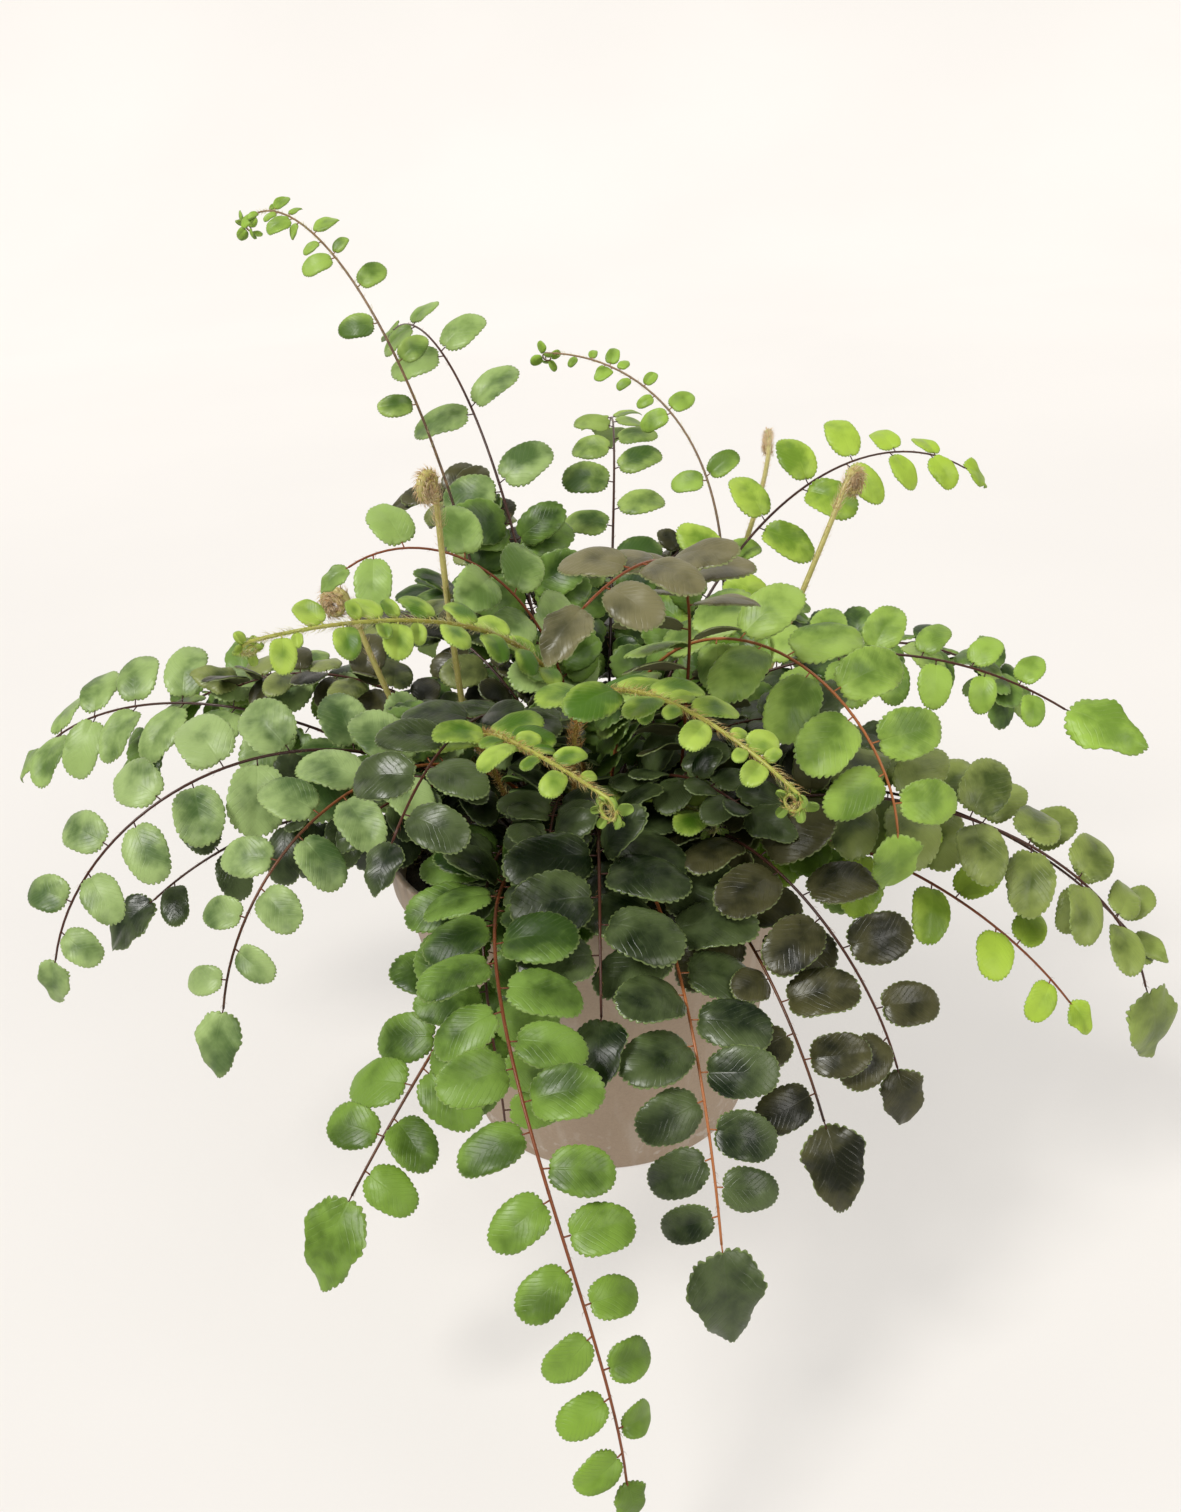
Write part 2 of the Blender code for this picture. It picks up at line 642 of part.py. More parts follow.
def make_crozier(stalk, collection, finish):
    """A young frond that is still rolled up: a hairy stem with a curled end."""
    curve = bpy.data.curves.new(stalk.frond.name, "CURVE")
    curve.dimensions = "3D"
    curve.bevel_depth = CROZIER_RADIUS
    curve.bevel_resolution = 1
    curve.use_fill_caps = True
    root = stalk.line[0]
    line = [root - Vector((0, 0, ROOT_DEPTH)), root]
    line += [stalk.at(index / 10)[0] for index in range(1, 11)]
    line += hook_line(stalk)
    spline = curve.splines.new("POLY")
    spline.points.add(len(line) - 1)
    for spot, point in zip(spline.points, line):
        spot.co = (*point, 1.0)
        spot.radius = 1.0
    for index in range(1, HOOK_POINTS + 1):
        spline.points[-index].radius = 1.35
    return add_object(stalk.frond.name, curve, collection, finish)


def main():
    for thing in list(bpy.data.objects):
        bpy.data.objects.remove(thing)
    fern = bpy.data.collections.new("button_fern")
    tools = bpy.data.collections.new("cutters")
    bpy.context.scene.collection.children.link(fern)
    bpy.context.scene.collection.children.link(tools)
    fronds, croziers = grow()
    make_pot(fern, tools)
    make_mix(fern, tools, [stalk for stalk, blades in fronds] + croziers)
    finishes = {tone: material("leaf_" + tone, COLOURS[tone], 0.45)
                for tone in ("dark", "olive", "mid", "bright", "hairy")}
    for stalk, blades in fronds:
        make_frond(stalk, blades, fern, finishes[stalk.frond.tone])
    for stalk in croziers:
        make_crozier(stalk, fern, finishes["hairy"])
    total = sum(len(blades) for stalk, blades in fronds)
    print(len(fronds), "fronds with", total, "leaflets,", len(croziers), "croziers")


main()
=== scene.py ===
# %% [markdown]
# # A potted button fern
# A button fern is a small fern with wiry, dark stalks and rows of round, leathery leaflets. This
# one stands in a plain nursery pot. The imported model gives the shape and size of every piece. The
# cells below load it and lay finer pieces over it: leaflets with toothed edges, stalks with
# scales, woolly young fronds, the pot and its peat.

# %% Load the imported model
import math
import random
from collections import namedtuple

import bmesh
import bpy
import numpy as np
from mathutils import Matrix, Vector, noise
from mathutils.bvhtree import BVHTree


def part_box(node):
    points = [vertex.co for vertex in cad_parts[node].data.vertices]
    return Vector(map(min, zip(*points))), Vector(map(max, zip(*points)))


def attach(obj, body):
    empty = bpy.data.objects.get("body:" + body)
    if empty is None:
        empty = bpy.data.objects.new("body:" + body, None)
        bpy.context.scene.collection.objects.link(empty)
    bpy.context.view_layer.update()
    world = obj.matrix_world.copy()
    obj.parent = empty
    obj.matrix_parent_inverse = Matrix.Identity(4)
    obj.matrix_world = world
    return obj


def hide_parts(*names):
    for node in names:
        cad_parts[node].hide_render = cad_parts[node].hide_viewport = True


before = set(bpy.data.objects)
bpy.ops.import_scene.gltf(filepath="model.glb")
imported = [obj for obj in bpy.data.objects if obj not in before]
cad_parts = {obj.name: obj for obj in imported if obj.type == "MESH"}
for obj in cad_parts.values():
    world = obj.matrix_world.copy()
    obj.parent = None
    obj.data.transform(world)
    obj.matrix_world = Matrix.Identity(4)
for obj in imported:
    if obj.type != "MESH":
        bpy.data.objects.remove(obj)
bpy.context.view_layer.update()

MM = 0.001

# %% [markdown]
# ## The camera
# The fern was photographed from the front, about 27 degrees above the table and from close by, so
# the near fronds look larger than the far ones. The camera was also held a little off level. A
# camera can be turned with angles, but three directions written into its matrix say the same
# thing without a choice of rotation order, and the roll is then a plain turn of two of them.

# %% Camera
IMAGE_HEIGHT = 1512
FOCAL_PIXELS = 1450
CAMERA_REACH = 0.4186
CAMERA_RISE = math.radians(27.2)
CAMERA_ROLL = math.radians(-4.16)
CAMERA_AIM = Vector((0.001, 0.0, 0.11725))

camera_data = bpy.data.cameras.new("photo_camera")
camera_data.sensor_width = 36
camera_data.lens = FOCAL_PIXELS * camera_data.sensor_width / IMAGE_HEIGHT
camera_data.clip_start = 0.01
camera = bpy.data.objects.new("photo_camera", camera_data)
bpy.context.scene.collection.objects.link(camera)
back = Vector((0.0, -math.cos(CAMERA_RISE), math.sin(CAMERA_RISE)))
level = Vector((1.0, 0.0, 0.0))
upward = level.cross(-back)
right = math.cos(CAMERA_ROLL) * level + math.sin(CAMERA_ROLL) * upward
up = math.cos(CAMERA_ROLL) * upward - math.sin(CAMERA_ROLL) * level
turn = Matrix((right, up, back)).transposed()
camera.matrix_world = Matrix.Translation(CAMERA_AIM + back * CAMERA_REACH) @ turn.to_4x4()
bpy.context.scene.camera = camera
print("camera", round((camera.matrix_world.translation - CAMERA_AIM).length, 4), "m from the crown")

# %% [markdown]
# ## Shader maths
# A finish is a small sum of patterns, and such sums are hard to read as a list of nodes and
# links. The class below wraps the output of a node. Adding, taking away or multiplying wrapped
# outputs adds the Math node for it, and its one method `add` makes every other node.

# %% A socket that can be calculated with
class Wire:
    """The output of a node: operators on it add Math nodes, and add() makes any other node."""

    def __init__(self, tree, output=None):
        self.tree = tree
        self.output = output

    def add(self, kind, settings=(), sockets=(), result=0):
        """A new node: its settings are set first, then the values or links of its sockets."""
        node = self.tree.nodes.new(kind)
        for name, value in dict(settings).items():
            setattr(node, name, value)
        for name, value in dict(sockets).items():
            if isinstance(value, Wire):
                self.tree.links.new(value.output, node.inputs[name])
            else:
                node.inputs[name].default_value = value
        return Wire(self.tree, node.outputs[result] if node.outputs else None)

    def maths(self, operation, *values):
        """A Math node with the given values or wires in its sockets."""
        return self.add("ShaderNodeMath", {"operation": operation}, enumerate(values))

    def __add__(self, other):
        return self.maths("ADD", self, other)

    def __sub__(self, other):
        return self.maths("SUBTRACT", self, other)

    def __rsub__(self, other):
        return self.maths("SUBTRACT", other, self)

    def __mul__(self, other):
        return self.maths("MULTIPLY", self, other)

    __radd__ = __add__
    __rmul__ = __mul__

    def band(self, low, high, start=0.0, end=1.0):
        """start below low, end above high, and smooth in between."""
        return self.add("ShaderNodeMapRange", {"interpolation_type": "SMOOTHSTEP"},
                        {0: self, 1: low, 2: high, 3: start, 4: end})

    def blend(self, colour_a, colour_b):
        """colour_a where this value is 0 and colour_b where it is 1."""
        return self.add("ShaderNodeMix", {"data_type": "RGBA"},
                        {0: self, 6: opaque(colour_a), 7: opaque(colour_b)}, 2)


def opaque(colour):
    """A colour with full alpha, or a wire as it is."""
    return colour if isinstance(colour, Wire) else (*colour, 1.0)


# %% [markdown]
# Every finish starts from the same few parts: a material, the place on the object, and noise of a
# given grain. Grains and the depth of bumps are written in millimetres, which is easier to judge
# against the real thing than a noise scale.

# %% Start a finish
def new_finish(name):
    """A material with an empty node tree, and a wire to build on."""
    finish = bpy.data.materials.new(name)
    finish.use_nodes = True
    finish.node_tree.nodes.clear()
    return finish, Wire(finish.node_tree)


def grain(start, size, detail=3.0, place=None):
    """Noise from 0 to 1 with spots of about the given size in millimetres."""
    place = place or start.add("ShaderNodeTexCoord", result=3)
    return start.add("ShaderNodeTexNoise", {},
                     {"Vector": place, "Scale": 1.0 / (size * MM), "Detail": detail})


def tag(start, name):
    """The three numbers that a mesh stores at each point under a name."""
    stored = start.add("ShaderNodeAttribute", {"attribute_name": name}, result=1)
    split = start.add("ShaderNodeSeparateXYZ", {}, {0: stored})
    return [Wire(start.tree, output) for output in split.output.node.outputs]


def surface(start, sockets, thin=None):
    """Ends the finish in a Principled shader, mixed with light passing through where it is thin."""
    solid = start.add("ShaderNodeBsdfPrincipled", {}, sockets)
    if thin:
        glow = start.add("ShaderNodeBsdfTranslucent", {}, {"Color": (*thin[1], 1.0)})
        solid = start.add("ShaderNodeMixShader", {}, {0: thin[0], 1: solid, 2: glow})
    start.add("ShaderNodeOutputMaterial", {}, {"Surface": solid})


def bumps(start, height, depth):
    """Relief of the given depth in millimetres, for the Normal socket."""
    return start.add("ShaderNodeBump", {}, {"Height": height, "Distance": depth * MM, "Strength": 1.0})


# %% [markdown]
# ## Table and light
# The plant stands on a pale surface that runs up behind it without a corner, in soft daylight
# from the upper left. A flat floor would end in a hard horizon at the top of the picture, so the
# floor is one sheet that curves up at the back. It is swept from a line of points. Like a light
# table it glows a little itself, which leaves the plant's shadow on it faint, as in the photograph.
# The glow is kept out of the lamp sampling: rays find so large a sheet without help, and the
# picture is ready sooner.

# %% Table that curves up behind
SWEEP_HALF = 2.6
SWEEP_FRONT = -1.6
SWEEP_BEND = 1.3
SWEEP_RADIUS = 0.9
SWEEP_TOP = 3.0
SWEEP_STEPS = 24
TABLE_SHADE = (0.300, 0.286, 0.270)
TABLE_PALE = (0.320, 0.305, 0.288)
TABLE_GLOW_COLOUR = (0.985, 0.952, 0.920, 1.0)
TABLE_GLOW = 0.55

sweep = [(SWEEP_FRONT, 0.0)]
for step in range(SWEEP_STEPS + 1):
    angle = 0.5 * math.pi * step / SWEEP_STEPS
    sweep.append((SWEEP_BEND + SWEEP_RADIUS * math.sin(angle), SWEEP_RADIUS * (1 - math.cos(angle))))
sweep.append((SWEEP_BEND + SWEEP_RADIUS, SWEEP_TOP))
points = [(side * SWEEP_HALF, depth, height) for depth, height in sweep for side in (-1, 1)]
faces = [(2 * row, 2 * row + 1, 2 * row + 3, 2 * row + 2) for row in range(len(sweep) - 1)]
mesh = bpy.data.meshes.new("table")
mesh.from_pydata(points, [], faces)
mesh.shade_smooth()
table = bpy.data.objects.new("table", mesh)
bpy.context.scene.collection.objects.link(table)

finish, start = new_finish("pale_table")
cloud = grain(start, 350)
paper = grain(start, 1.2)
tone = cloud.band(0.3, 0.7).blend(TABLE_SHADE, TABLE_PALE)
surface(start, {"Base Color": tone, "Roughness": 0.8, "Normal": bumps(start, paper, 0.04),
                "Emission Color": TABLE_GLOW_COLOUR, "Emission Strength": TABLE_GLOW})
finish.cycles.emission_sampling = "NONE"
mesh.materials.append(finish)
print("table sweep of", len(faces), "faces")

# %% [markdown]
# The photograph is bright all over, with shadows that are hardly there. Area lamps close by would
# light the near fronds more than the far ones, so much of the light is an even pale sky and the
# lamps are suns with wide, soft edges. The one at the upper left gives the leaflets their sheen
# and the pot its lit side. Two weaker ones, from the room at the right and from behind, keep the
# other sides from going black. The plain view transform keeps the greens as deep as written.

# %% Sky and lamps
SKY_COLOUR = (1.0, 0.985, 0.95, 1.0)
SKY_STRENGTH = 0.27
LAMPS = (
    # name, direction it comes from, softness in degrees, strength, colour
    ("window", (-0.48, -0.30, 0.82), 20.0, 2.75, (1.0, 0.985, 0.95)),
    ("room", (0.60, -0.60, 0.53), 30.0, 1.10, (1.0, 0.97, 0.92)),
    ("back", (0.15, 0.72, 0.67), 30.0, 0.75, (1.0, 0.99, 0.97)),
)

world = bpy.data.worlds.new("pale_room")
world.use_nodes = True
sky = world.node_tree.nodes["Background"]
sky.inputs["Color"].default_value = SKY_COLOUR
sky.inputs["Strength"].default_value = SKY_STRENGTH
bpy.context.scene.world = world
for name, direction, softness, strength, colour in LAMPS:
    lamp = bpy.data.lights.new(name, "SUN")
    lamp.angle = math.radians(softness)
    lamp.energy = strength
    lamp.color = colour
    holder = bpy.data.objects.new(name, lamp)
    holder.rotation_euler = (-Vector(direction)).to_track_quat("-Z", "Y").to_euler()
    bpy.context.scene.collection.objects.link(holder)
bpy.context.scene.view_settings.view_transform = "Standard"
print("lamps:", [row[0] for row in LAMPS])

# %% [markdown]
# ## Where everything grows
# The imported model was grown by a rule: each stalk arches over as its numbers say, shifts its root
# until it is clear of the others, and then carries leaflets that tilt until they touch nothing.
# The same rule runs again here with the same numbers, so every fine leaflet lies on its coarse
# one, and more leaflets can be fitted in where there is room between them.

# %% Sizes of the pot and the mix
# Pot
POT_HEIGHT = 97 * MM
POT_RIM_RADIUS = 61 * MM
POT_FOOT_RADIUS = 42 * MM
POT_WALL = 1.6 * MM
COLLAR_HEIGHT = 12 * MM
COLLAR_STEP = 2.4 * MM
POT_STEPS = 30
DRAIN_COUNT = 5
DRAIN_RADIUS = 3.5 * MM
DRAIN_CIRCLE = 27 * MM

# Potting mix
MIX_TOP = 86 * MM
MIX_BUMP = 1.2 * MM
SEAT_GAP = 0.3 * MM
ROOT_DEPTH = 7.5 * MM
ROOT_SPACING = 4.8 * MM
ROOT_CIRCLE = 44 * MM
ROOT_TRIES = 480
ROOT_SPREAD = 0.9 * MM
SPIRAL_TURN = 2.4

print("pot", round(2 * POT_RIM_RADIUS / MM), "mm across and", round(POT_HEIGHT / MM), "mm high")

# %% Sizes of stalks, leaflets and young fronds
STALK_HALF = 0.85 * MM
STALK_HALF_TIP = 0.45 * MM
BLADE_THICK = 0.62 * MM
BLADE_FOOT = 1.3 * MM
SMALL_BLADE = 12 * MM
ARCH_RISE = 0.16
ARCH_FALL = 0.10
ARCH_SHARE = 0.6
TIP_HOLD = 0.92
ARC_STEPS = 48
CLEAR = 0.55 * MM
OWN_CLEAR = 0.1 * MM
STALK_CLEAR = 0.9 * MM
HOLDER_CLEAR = 0.6 * MM
FLOOR_GAP = 1.0 * MM

# Leaflets turn part of the way towards the light, which comes from above and in front
LIGHT = Vector((0.0, -0.6, 0.8))
SEEK = 0.5
SEEK_LIMIT = math.radians(32)

# Croziers
CROZIER_RADIUS = 1.15 * MM
HOOK_RADIUS = 4.2 * MM
HOOK_ROOM = 3.0 * MM
print("stalks", round(2 * STALK_HALF / MM, 2), "mm thick, leaflets", round(BLADE_THICK / MM, 2), "mm")

# %% [markdown]
# Each row below is one frond. Its heading and slopes are angles, its lengths are millimetres, and
# the tone says which green it has. Tones are a choice from a few, because a plant has fronds of
# about four ages: dark green, olive, mid green, and the bright yellow green of new growth.

# %% The fronds, one row each
# heading and angles in degrees, lengths in mm; rise and fall are the stalk's slope at the soil
# and at the tip, bend says how late it arches over, sway how far its heading turns on the way;
# bare is the share without leaflets; pair is how far the leaflets of a pair stand apart, from 0
# for opposite to 1 for alternate, and negative where the first one is on the right; taper is the
# size of the last leaflets against the largest
Frond = namedtuple("Frond", "name tone heading root length rise fall bend sway twist bare count pair "
                            "leaf taper tip")

FRONDS = (
    Frond("frond_front_long", "bright", -114, 26, 226, 55, -95, 1.0, 66, 0, 0.2, 24, 0.9, 19, 0.65, 11),
    Frond("frond_front_drop", "dark", -77, 21, 172, 59, -81, 0.85, -12, 5, 0.24, 17, -1, 22, 0.7, 25),
    Frond("frond_front_right", "olive", -65, 15, 151, 60, -65, 0.8, -8, -10, 0.15, 15, -0.9, 20, 0.95, 21),
    Frond("frond_front_left", "mid", -108, 21, 147, 65, -50, 0.45, -30, 10, 0.15, 15, 0.7, 21, 0.85, 24),
    Frond("frond_right_low", "olive", -46, 25, 201, 62, -95, 1.05, 55, -20, 0.19, 17, 0.1, 21, 0.8, 26),
    Frond("frond_right_middle", "olive", -21, 18, 165, 62, -53, 0.75, -7, -35, 0.28, 15, 0.3, 20, 0.75, 13),
    Frond("frond_right_high", "mid", 7, 3, 181, 82, -38, 0.8, -42, -35, 0.28, 16, 0.6, 18, 0.6, 23),
    Frond("frond_right_front", "bright", -43, 22, 151, 65, -59, 0.7, 24, -20, 0.21, 11, -0.7, 20, 0.7, 11),
    Frond("frond_right_arch", "mid", -48, 8, 192, 90, -111, 1.55, -2, -20, 0.23, 17, 1, 20, 1.05, 18),
    Frond("frond_front_corner", "dark", -64, 19, 152, 67, -84, 1.0, 13, -10, 0.26, 12, 0.9, 20, 0.95, 16),
    Frond("frond_front_middle", "dark", -85, 23, 130, 73, -81, 1.2, -12, 0, 0.34, 9, 1, 23, 0.95, 18),
    Frond("frond_left_long", "mid", 201, 17, 190, 64, -85, 1.3, 4, 35, 0.27, 14, -1.0, 21, 0.75, 14),
    Frond("frond_left_high", "mid", 184, 29, 182, 63, -50, 1.05, -32, 30, 0.22, 16, 0.1, 21, 1.0, 14),
    Frond("frond_left_front", "mid", 217, 8, 176, 70, -90, 1.25, 16, 25, 0.19, 16, 1, 22, 0.6, 17),
    Frond("frond_tall_left", "bright", 129, 30, 259, 79, -30, 2.35, -6, 30, 0.48, 9, 1, 12, 0.6, 8),
    Frond("frond_back_left", "mid", 111, 21, 221, 80, -33, 1.9, 2, 25, 0.44, 8, 0.2, 20, 0.65, 13),
    Frond("frond_back_thin", "mid", 32, 32, 192, 62, -5, 2.4, 134, 30, 0.39, 8, 0.1, 13, 0.5, 7),
    Frond("frond_back_right", "bright", 47, 18, 224, 76, -39, 1.05, -13, -35, 0.25, 14, -0.3, 19, 0.8, 16),
    Frond("frond_back_middle", "mid", 75, 19, 210, 73, -45, 1.45, 19, 0, 0.34, 13, 0.7, 17, 0.7, 18),
    Frond("frond_over_top", "olive", -46, 24, 182, 83, -41, 2.4, -92, 0, 0.38, 13, 0.6, 18, 0.95, 15),
    Frond("frond_young_middle", "bright", -103, 28, 169, 88, -39, 1.4, 63, 0, 0.5, 10, 0.7, 16, 0.45, 5),
    Frond("frond_young_curl", "bright", -131, 24, 154, 75, -19, 1.35, 90, 0, 0.45, 8, 0.5, 15, 0.45, 5),
    Frond("frond_young_right", "bright", -77, 19, 80, 78, -33, 1.4, 43, 0, 0.24, 9, -1, 15, 1.05, 8),
    Frond("frond_upper_left", "mid", 160, 2, 144, 90, -45, 2.5, 46, 35, 0.15, 13, 1.0, 18, 1.05, 10),
    Frond("frond_young_left", "bright", 276, 2, 178, 90, -4, 1.0, -74, 30, 0.45, 13, 0.6, 10, 1.05, 5),
    Frond("frond_left_back", "dark", 185, 16, 137, 73, -45, 0.65, 16, 30, 0.28, 9, 0.3, 19, 0.75, 20),
    Frond("frond_left_dark", "dark", 255, 14, 159, 77, -46, 1.4, -9, 0, 0.4, 11, 0.5, 18, 1.05, 13),
    Frond("frond_front_low", "bright", -126, 19, 142, 70, -111, 1.05, 61, 0, 0.27, 15, 1, 19, 0.9, 12),
)

FILL_SEED = 11
FILL_BACK = 5
FILL_FIRST = 14
FILL_STEP = 36
# heading in degrees and length in mm of the short fronds round the crown
CROWN = ((-165, 105), (140, 135), (-95, 90), (170, 125), (-30, 110), (108, 150), (-130, 95), (75, 140),
         (-60, 100))

Crozier = namedtuple("Crozier", "name heading root length rise fall bend sway")

CROZIERS = (
    Crozier("crozier_left", 192, 30, 117, 84, 92, 1.2, 50),
    Crozier("crozier_right", 16, 34, 113, 63, 52, 1.4, 30),
    Crozier("crozier_back", 45, 27, 171, 66, 2, 0.8, 39),
    Crozier("crozier_small", 188, 34, 89, 69, 75, 1.0, -28),
)
print(len(FRONDS), "fronds from", min(frond.length for frond in FRONDS), "to",
      max(frond.length for frond in FRONDS), "mm long, and", len(CROZIERS), "croziers")

# %% The fronds that the front ones hide
def filling_fronds():
    """The fronds that the front ones hide: long ones behind, short ones all round the crown."""
    draw = random.Random(FILL_SEED)
    fronds = []
    for index in range(FILL_BACK):
        heading = FILL_FIRST + index * FILL_STEP + draw.uniform(-6, 6)
        length = draw.uniform(150, 185)
        fronds.append(Frond(name=f"frond_behind_{index + 1}", tone="mid", heading=heading, root=12,
                            length=length, rise=74, fall=draw.uniform(-80, -60), bend=1.0,
                            sway=draw.uniform(-12, 12), twist=0, bare=0.36, count=8, pair=-1.0,
                            leaf=17, taper=0.85, tip=18))
    for index, (heading, length) in enumerate(CROWN):
        root = draw.uniform(4, 24)
        tone = ("dark", "olive")[index % 2]
        fronds.append(Frond(name=f"frond_crown_{index + 1}", tone=tone, heading=heading, root=root,
                            length=length, rise=80, fall=draw.uniform(-60, -15), bend=1.25,
                            sway=draw.uniform(-20, 20), twist=0, bare=0.34, count=7, pair=-1.0,
                            leaf=16, taper=0.90, tip=15))
    return fronds


print(len(filling_fronds()), "fronds behind and round the crown")

# %% [markdown]
# A stalk is a line of short steps. At each step its heading turns by its sway, and its slope goes
# from the rise at the soil to the fall at its tip, early or late as its bend says. A Bezier curve
# could draw the same arch, but with a heading and a slope the ways along, sideways and up are
# known at every point, and the leaflets need them.

# %% Stalk lines
def way_at(frond, share):
    """Heading and slope of a stalk, in radians, at a share of its length."""
    heading = math.radians(frond.heading + frond.sway * share)
    slope = math.radians(frond.rise + (frond.fall - frond.rise) * share ** frond.bend)
    return heading, slope


def stalk_line(frond, shift):
    """Points along a stalk from the soil to its tip."""
    root = frond.root * MM
    start = math.radians(frond.heading)
    point = Vector((root * math.cos(start), root * math.sin(start), MIX_TOP)) + shift
    line = [point.copy()]
    step = frond.length * MM / ARC_STEPS
    for index in range(ARC_STEPS):
        heading, slope = way_at(frond, (index + 0.5) / ARC_STEPS)
        flat = math.cos(slope)
        point += step * Vector((flat * math.cos(heading), flat * math.sin(heading), math.sin(slope)))
        line.append(point.copy())
    return line


# %% A placed stalk
class Stalk:
    """A placed stalk: where it runs, and its directions at a share of its length."""

    def __init__(self, frond, shift):
        self.frond = frond
        self.line = stalk_line(frond, shift)
        self.length = frond.length * MM
        self.end = 1.0 - TIP_HOLD * frond.tip / frond.length

    def at(self, share):
        """The middle of the stalk, and the ways along, sideways and up, at a share of its length."""
        place = min(max(share, 0.0), 1.0) * ARC_STEPS
        index = min(int(place), ARC_STEPS - 1)
        point = self.line[index].lerp(self.line[index + 1], place - index)
        heading, slope = way_at(self.frond, share)
        along = Vector((math.cos(slope) * math.cos(heading), math.cos(slope) * math.sin(heading),
                        math.sin(slope)))
        level = Vector((-math.sin(heading), math.cos(heading), 0.0))
        lean = math.radians(self.frond.twist) * min(1.0, share / self.frond.bare)
        side = Matrix.Rotation(-lean, 3, along) @ level
        return point, along, side, along.cross(side)

    def half_width(self, share):
        """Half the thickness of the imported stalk."""
        return STALK_HALF + (STALK_HALF_TIP - STALK_HALF) * share

    def skin(self, extra):
        """A closed square tube round the stalk, for the clearance tests."""
        points = []
        rings = ARC_STEPS // 2
        for ring in range(rings + 1):
            share = self.end * ring / rings
            point, along, side, up = self.at(share)
            reach = self.half_width(share) + extra
            for across, above in ((1, 1), (-1, 1), (-1, -1), (1, -1)):
                points.append(point + reach * (across * side + above * up))
        faces = [(3, 2, 1, 0), tuple(4 * rings + corner for corner in range(4))]
        for ring in range(rings):
            for corner in range(4):
                first = 4 * ring + corner
                second = 4 * ring + (corner + 1) % 4
                faces.append((first, second, second + 4, first + 4))
        return points, faces


# %% [markdown]
# A leaflet leaves its stalk to one side, leans forward, and lifts or hangs a little. Then it turns
# its face part of the way to the light, as a living leaflet does. With the foot and three ways
# (out, across and up from its face) every point of it can be given as shares of its length and
# width, so the coarse outline here and the fine mesh later come from the same frame.

# %% Leaflet frames
class Blade:
    """A leaflet: where it sits on its stalk, its frame and its size."""

    def __init__(self, stalk, share, hand, length, width, forward, lift, roll):
        self.share = share
        self.hand = hand
        self.length = length
        self.width = width
        point, along, side, up = stalk.at(share)
        if hand:
            outward = hand * side
            self.foot = point + outward * stalk.half_width(share)
            reach = outward * math.cos(forward) + along * math.sin(forward)
            reach = Matrix.Rotation(lift, 3, reach.cross(up)) @ reach
        else:
            self.foot = point
            reach = Matrix.Rotation(lift, 3, along.cross(up)) @ along
        self.reach = reach.normalized()
        face = (up - up.dot(self.reach) * self.reach).normalized()
        light = (LIGHT - LIGHT.dot(self.reach) * self.reach).normalized()
        seek = math.atan2(face.cross(light).dot(self.reach), face.dot(light))
        seek = max(-SEEK_LIMIT, min(SEEK_LIMIT, SEEK * seek))
        self.face = Matrix.Rotation(roll + seek, 3, self.reach) @ face
        self.across = self.face.cross(self.reach)

    def spot(self, along, across, above=0.0):
        """A point of the blade, from shares of its length and half width."""
        arch = ARCH_RISE * math.sin(math.pi * min(along, 1.0)) - ARCH_FALL * along * along
        return (self.foot + self.reach * (self.length * along)
                + self.across * (0.5 * self.width * across)
                + self.face * (self.length * arch * ARCH_SHARE + above))

    def rim(self, grow=0.0, above=0.0):
        """The coarse outline: one or two points on each side, and the tip."""
        swell = 1.0 + 2.0 * grow / self.width
        end = 1.0 + grow / self.length
        rows = ((0.46, 0.98),) if self.length < SMALL_BLADE else ((0.20, 0.86), (0.72, 0.88))
        right = [self.spot(along, across * swell, above) for along, across in rows]
        left = [self.spot(along, -across * swell, above) for along, across in rows]
        return right, self.spot(end, 0.0, above), left

    def skin(self, extra):
        """A closed slab round the blade, for the clearance tests."""
        half = 0.5 * BLADE_THICK + extra
        points = []
        foot = BLADE_FOOT / self.width
        for above in (half, -half):
            right, end, left = self.rim(extra, above)
            near = [self.spot(0.0, side, above) for side in (-foot, foot)]
            points += [*near, *right, end, *reversed(left)]
        count = len(points) // 2
        faces = [tuple(range(count)), tuple(range(2 * count - 1, count - 1, -1))]
        for corner in range(count):
            after = (corner + 1) % count
            faces.append((corner, corner + count, after + count, after))
        return points, faces


# %% [markdown]
# Leaflets of a living plant push each other aside and never pass through one another. Here each
# new shape is tested against all that were placed before it. Testing every pair of faces would be
# slow, so each shape has a sphere round it and a tree of its faces, and most tests end at once.

# %% Keeping clear
class Crowd:
    """Everything placed so far, for the clearance tests."""

    def __init__(self):
        self.members = []

    def add(self, owner, points, faces):
        """Keeps a shape under its owner's name."""
        middle = sum(points, Vector()) / len(points)
        radius = max((point - middle).length for point in points)
        self.members.append((owner, middle, radius, BVHTree.FromPolygons(points, faces)))

    def clear(self, points, faces, but=None):
        """True where the shape crosses nothing placed so far, except what its owner placed."""
        middle = sum(points, Vector()) / len(points)
        radius = max((point - middle).length for point in points)
        tree = None
        for owner, other, reach, placed in self.members:
            if owner == but or (other - middle).length > radius + reach:
                continue
            tree = tree or BVHTree.FromPolygons(points, faces)
            if tree.overlap(placed):
                return False
        return True


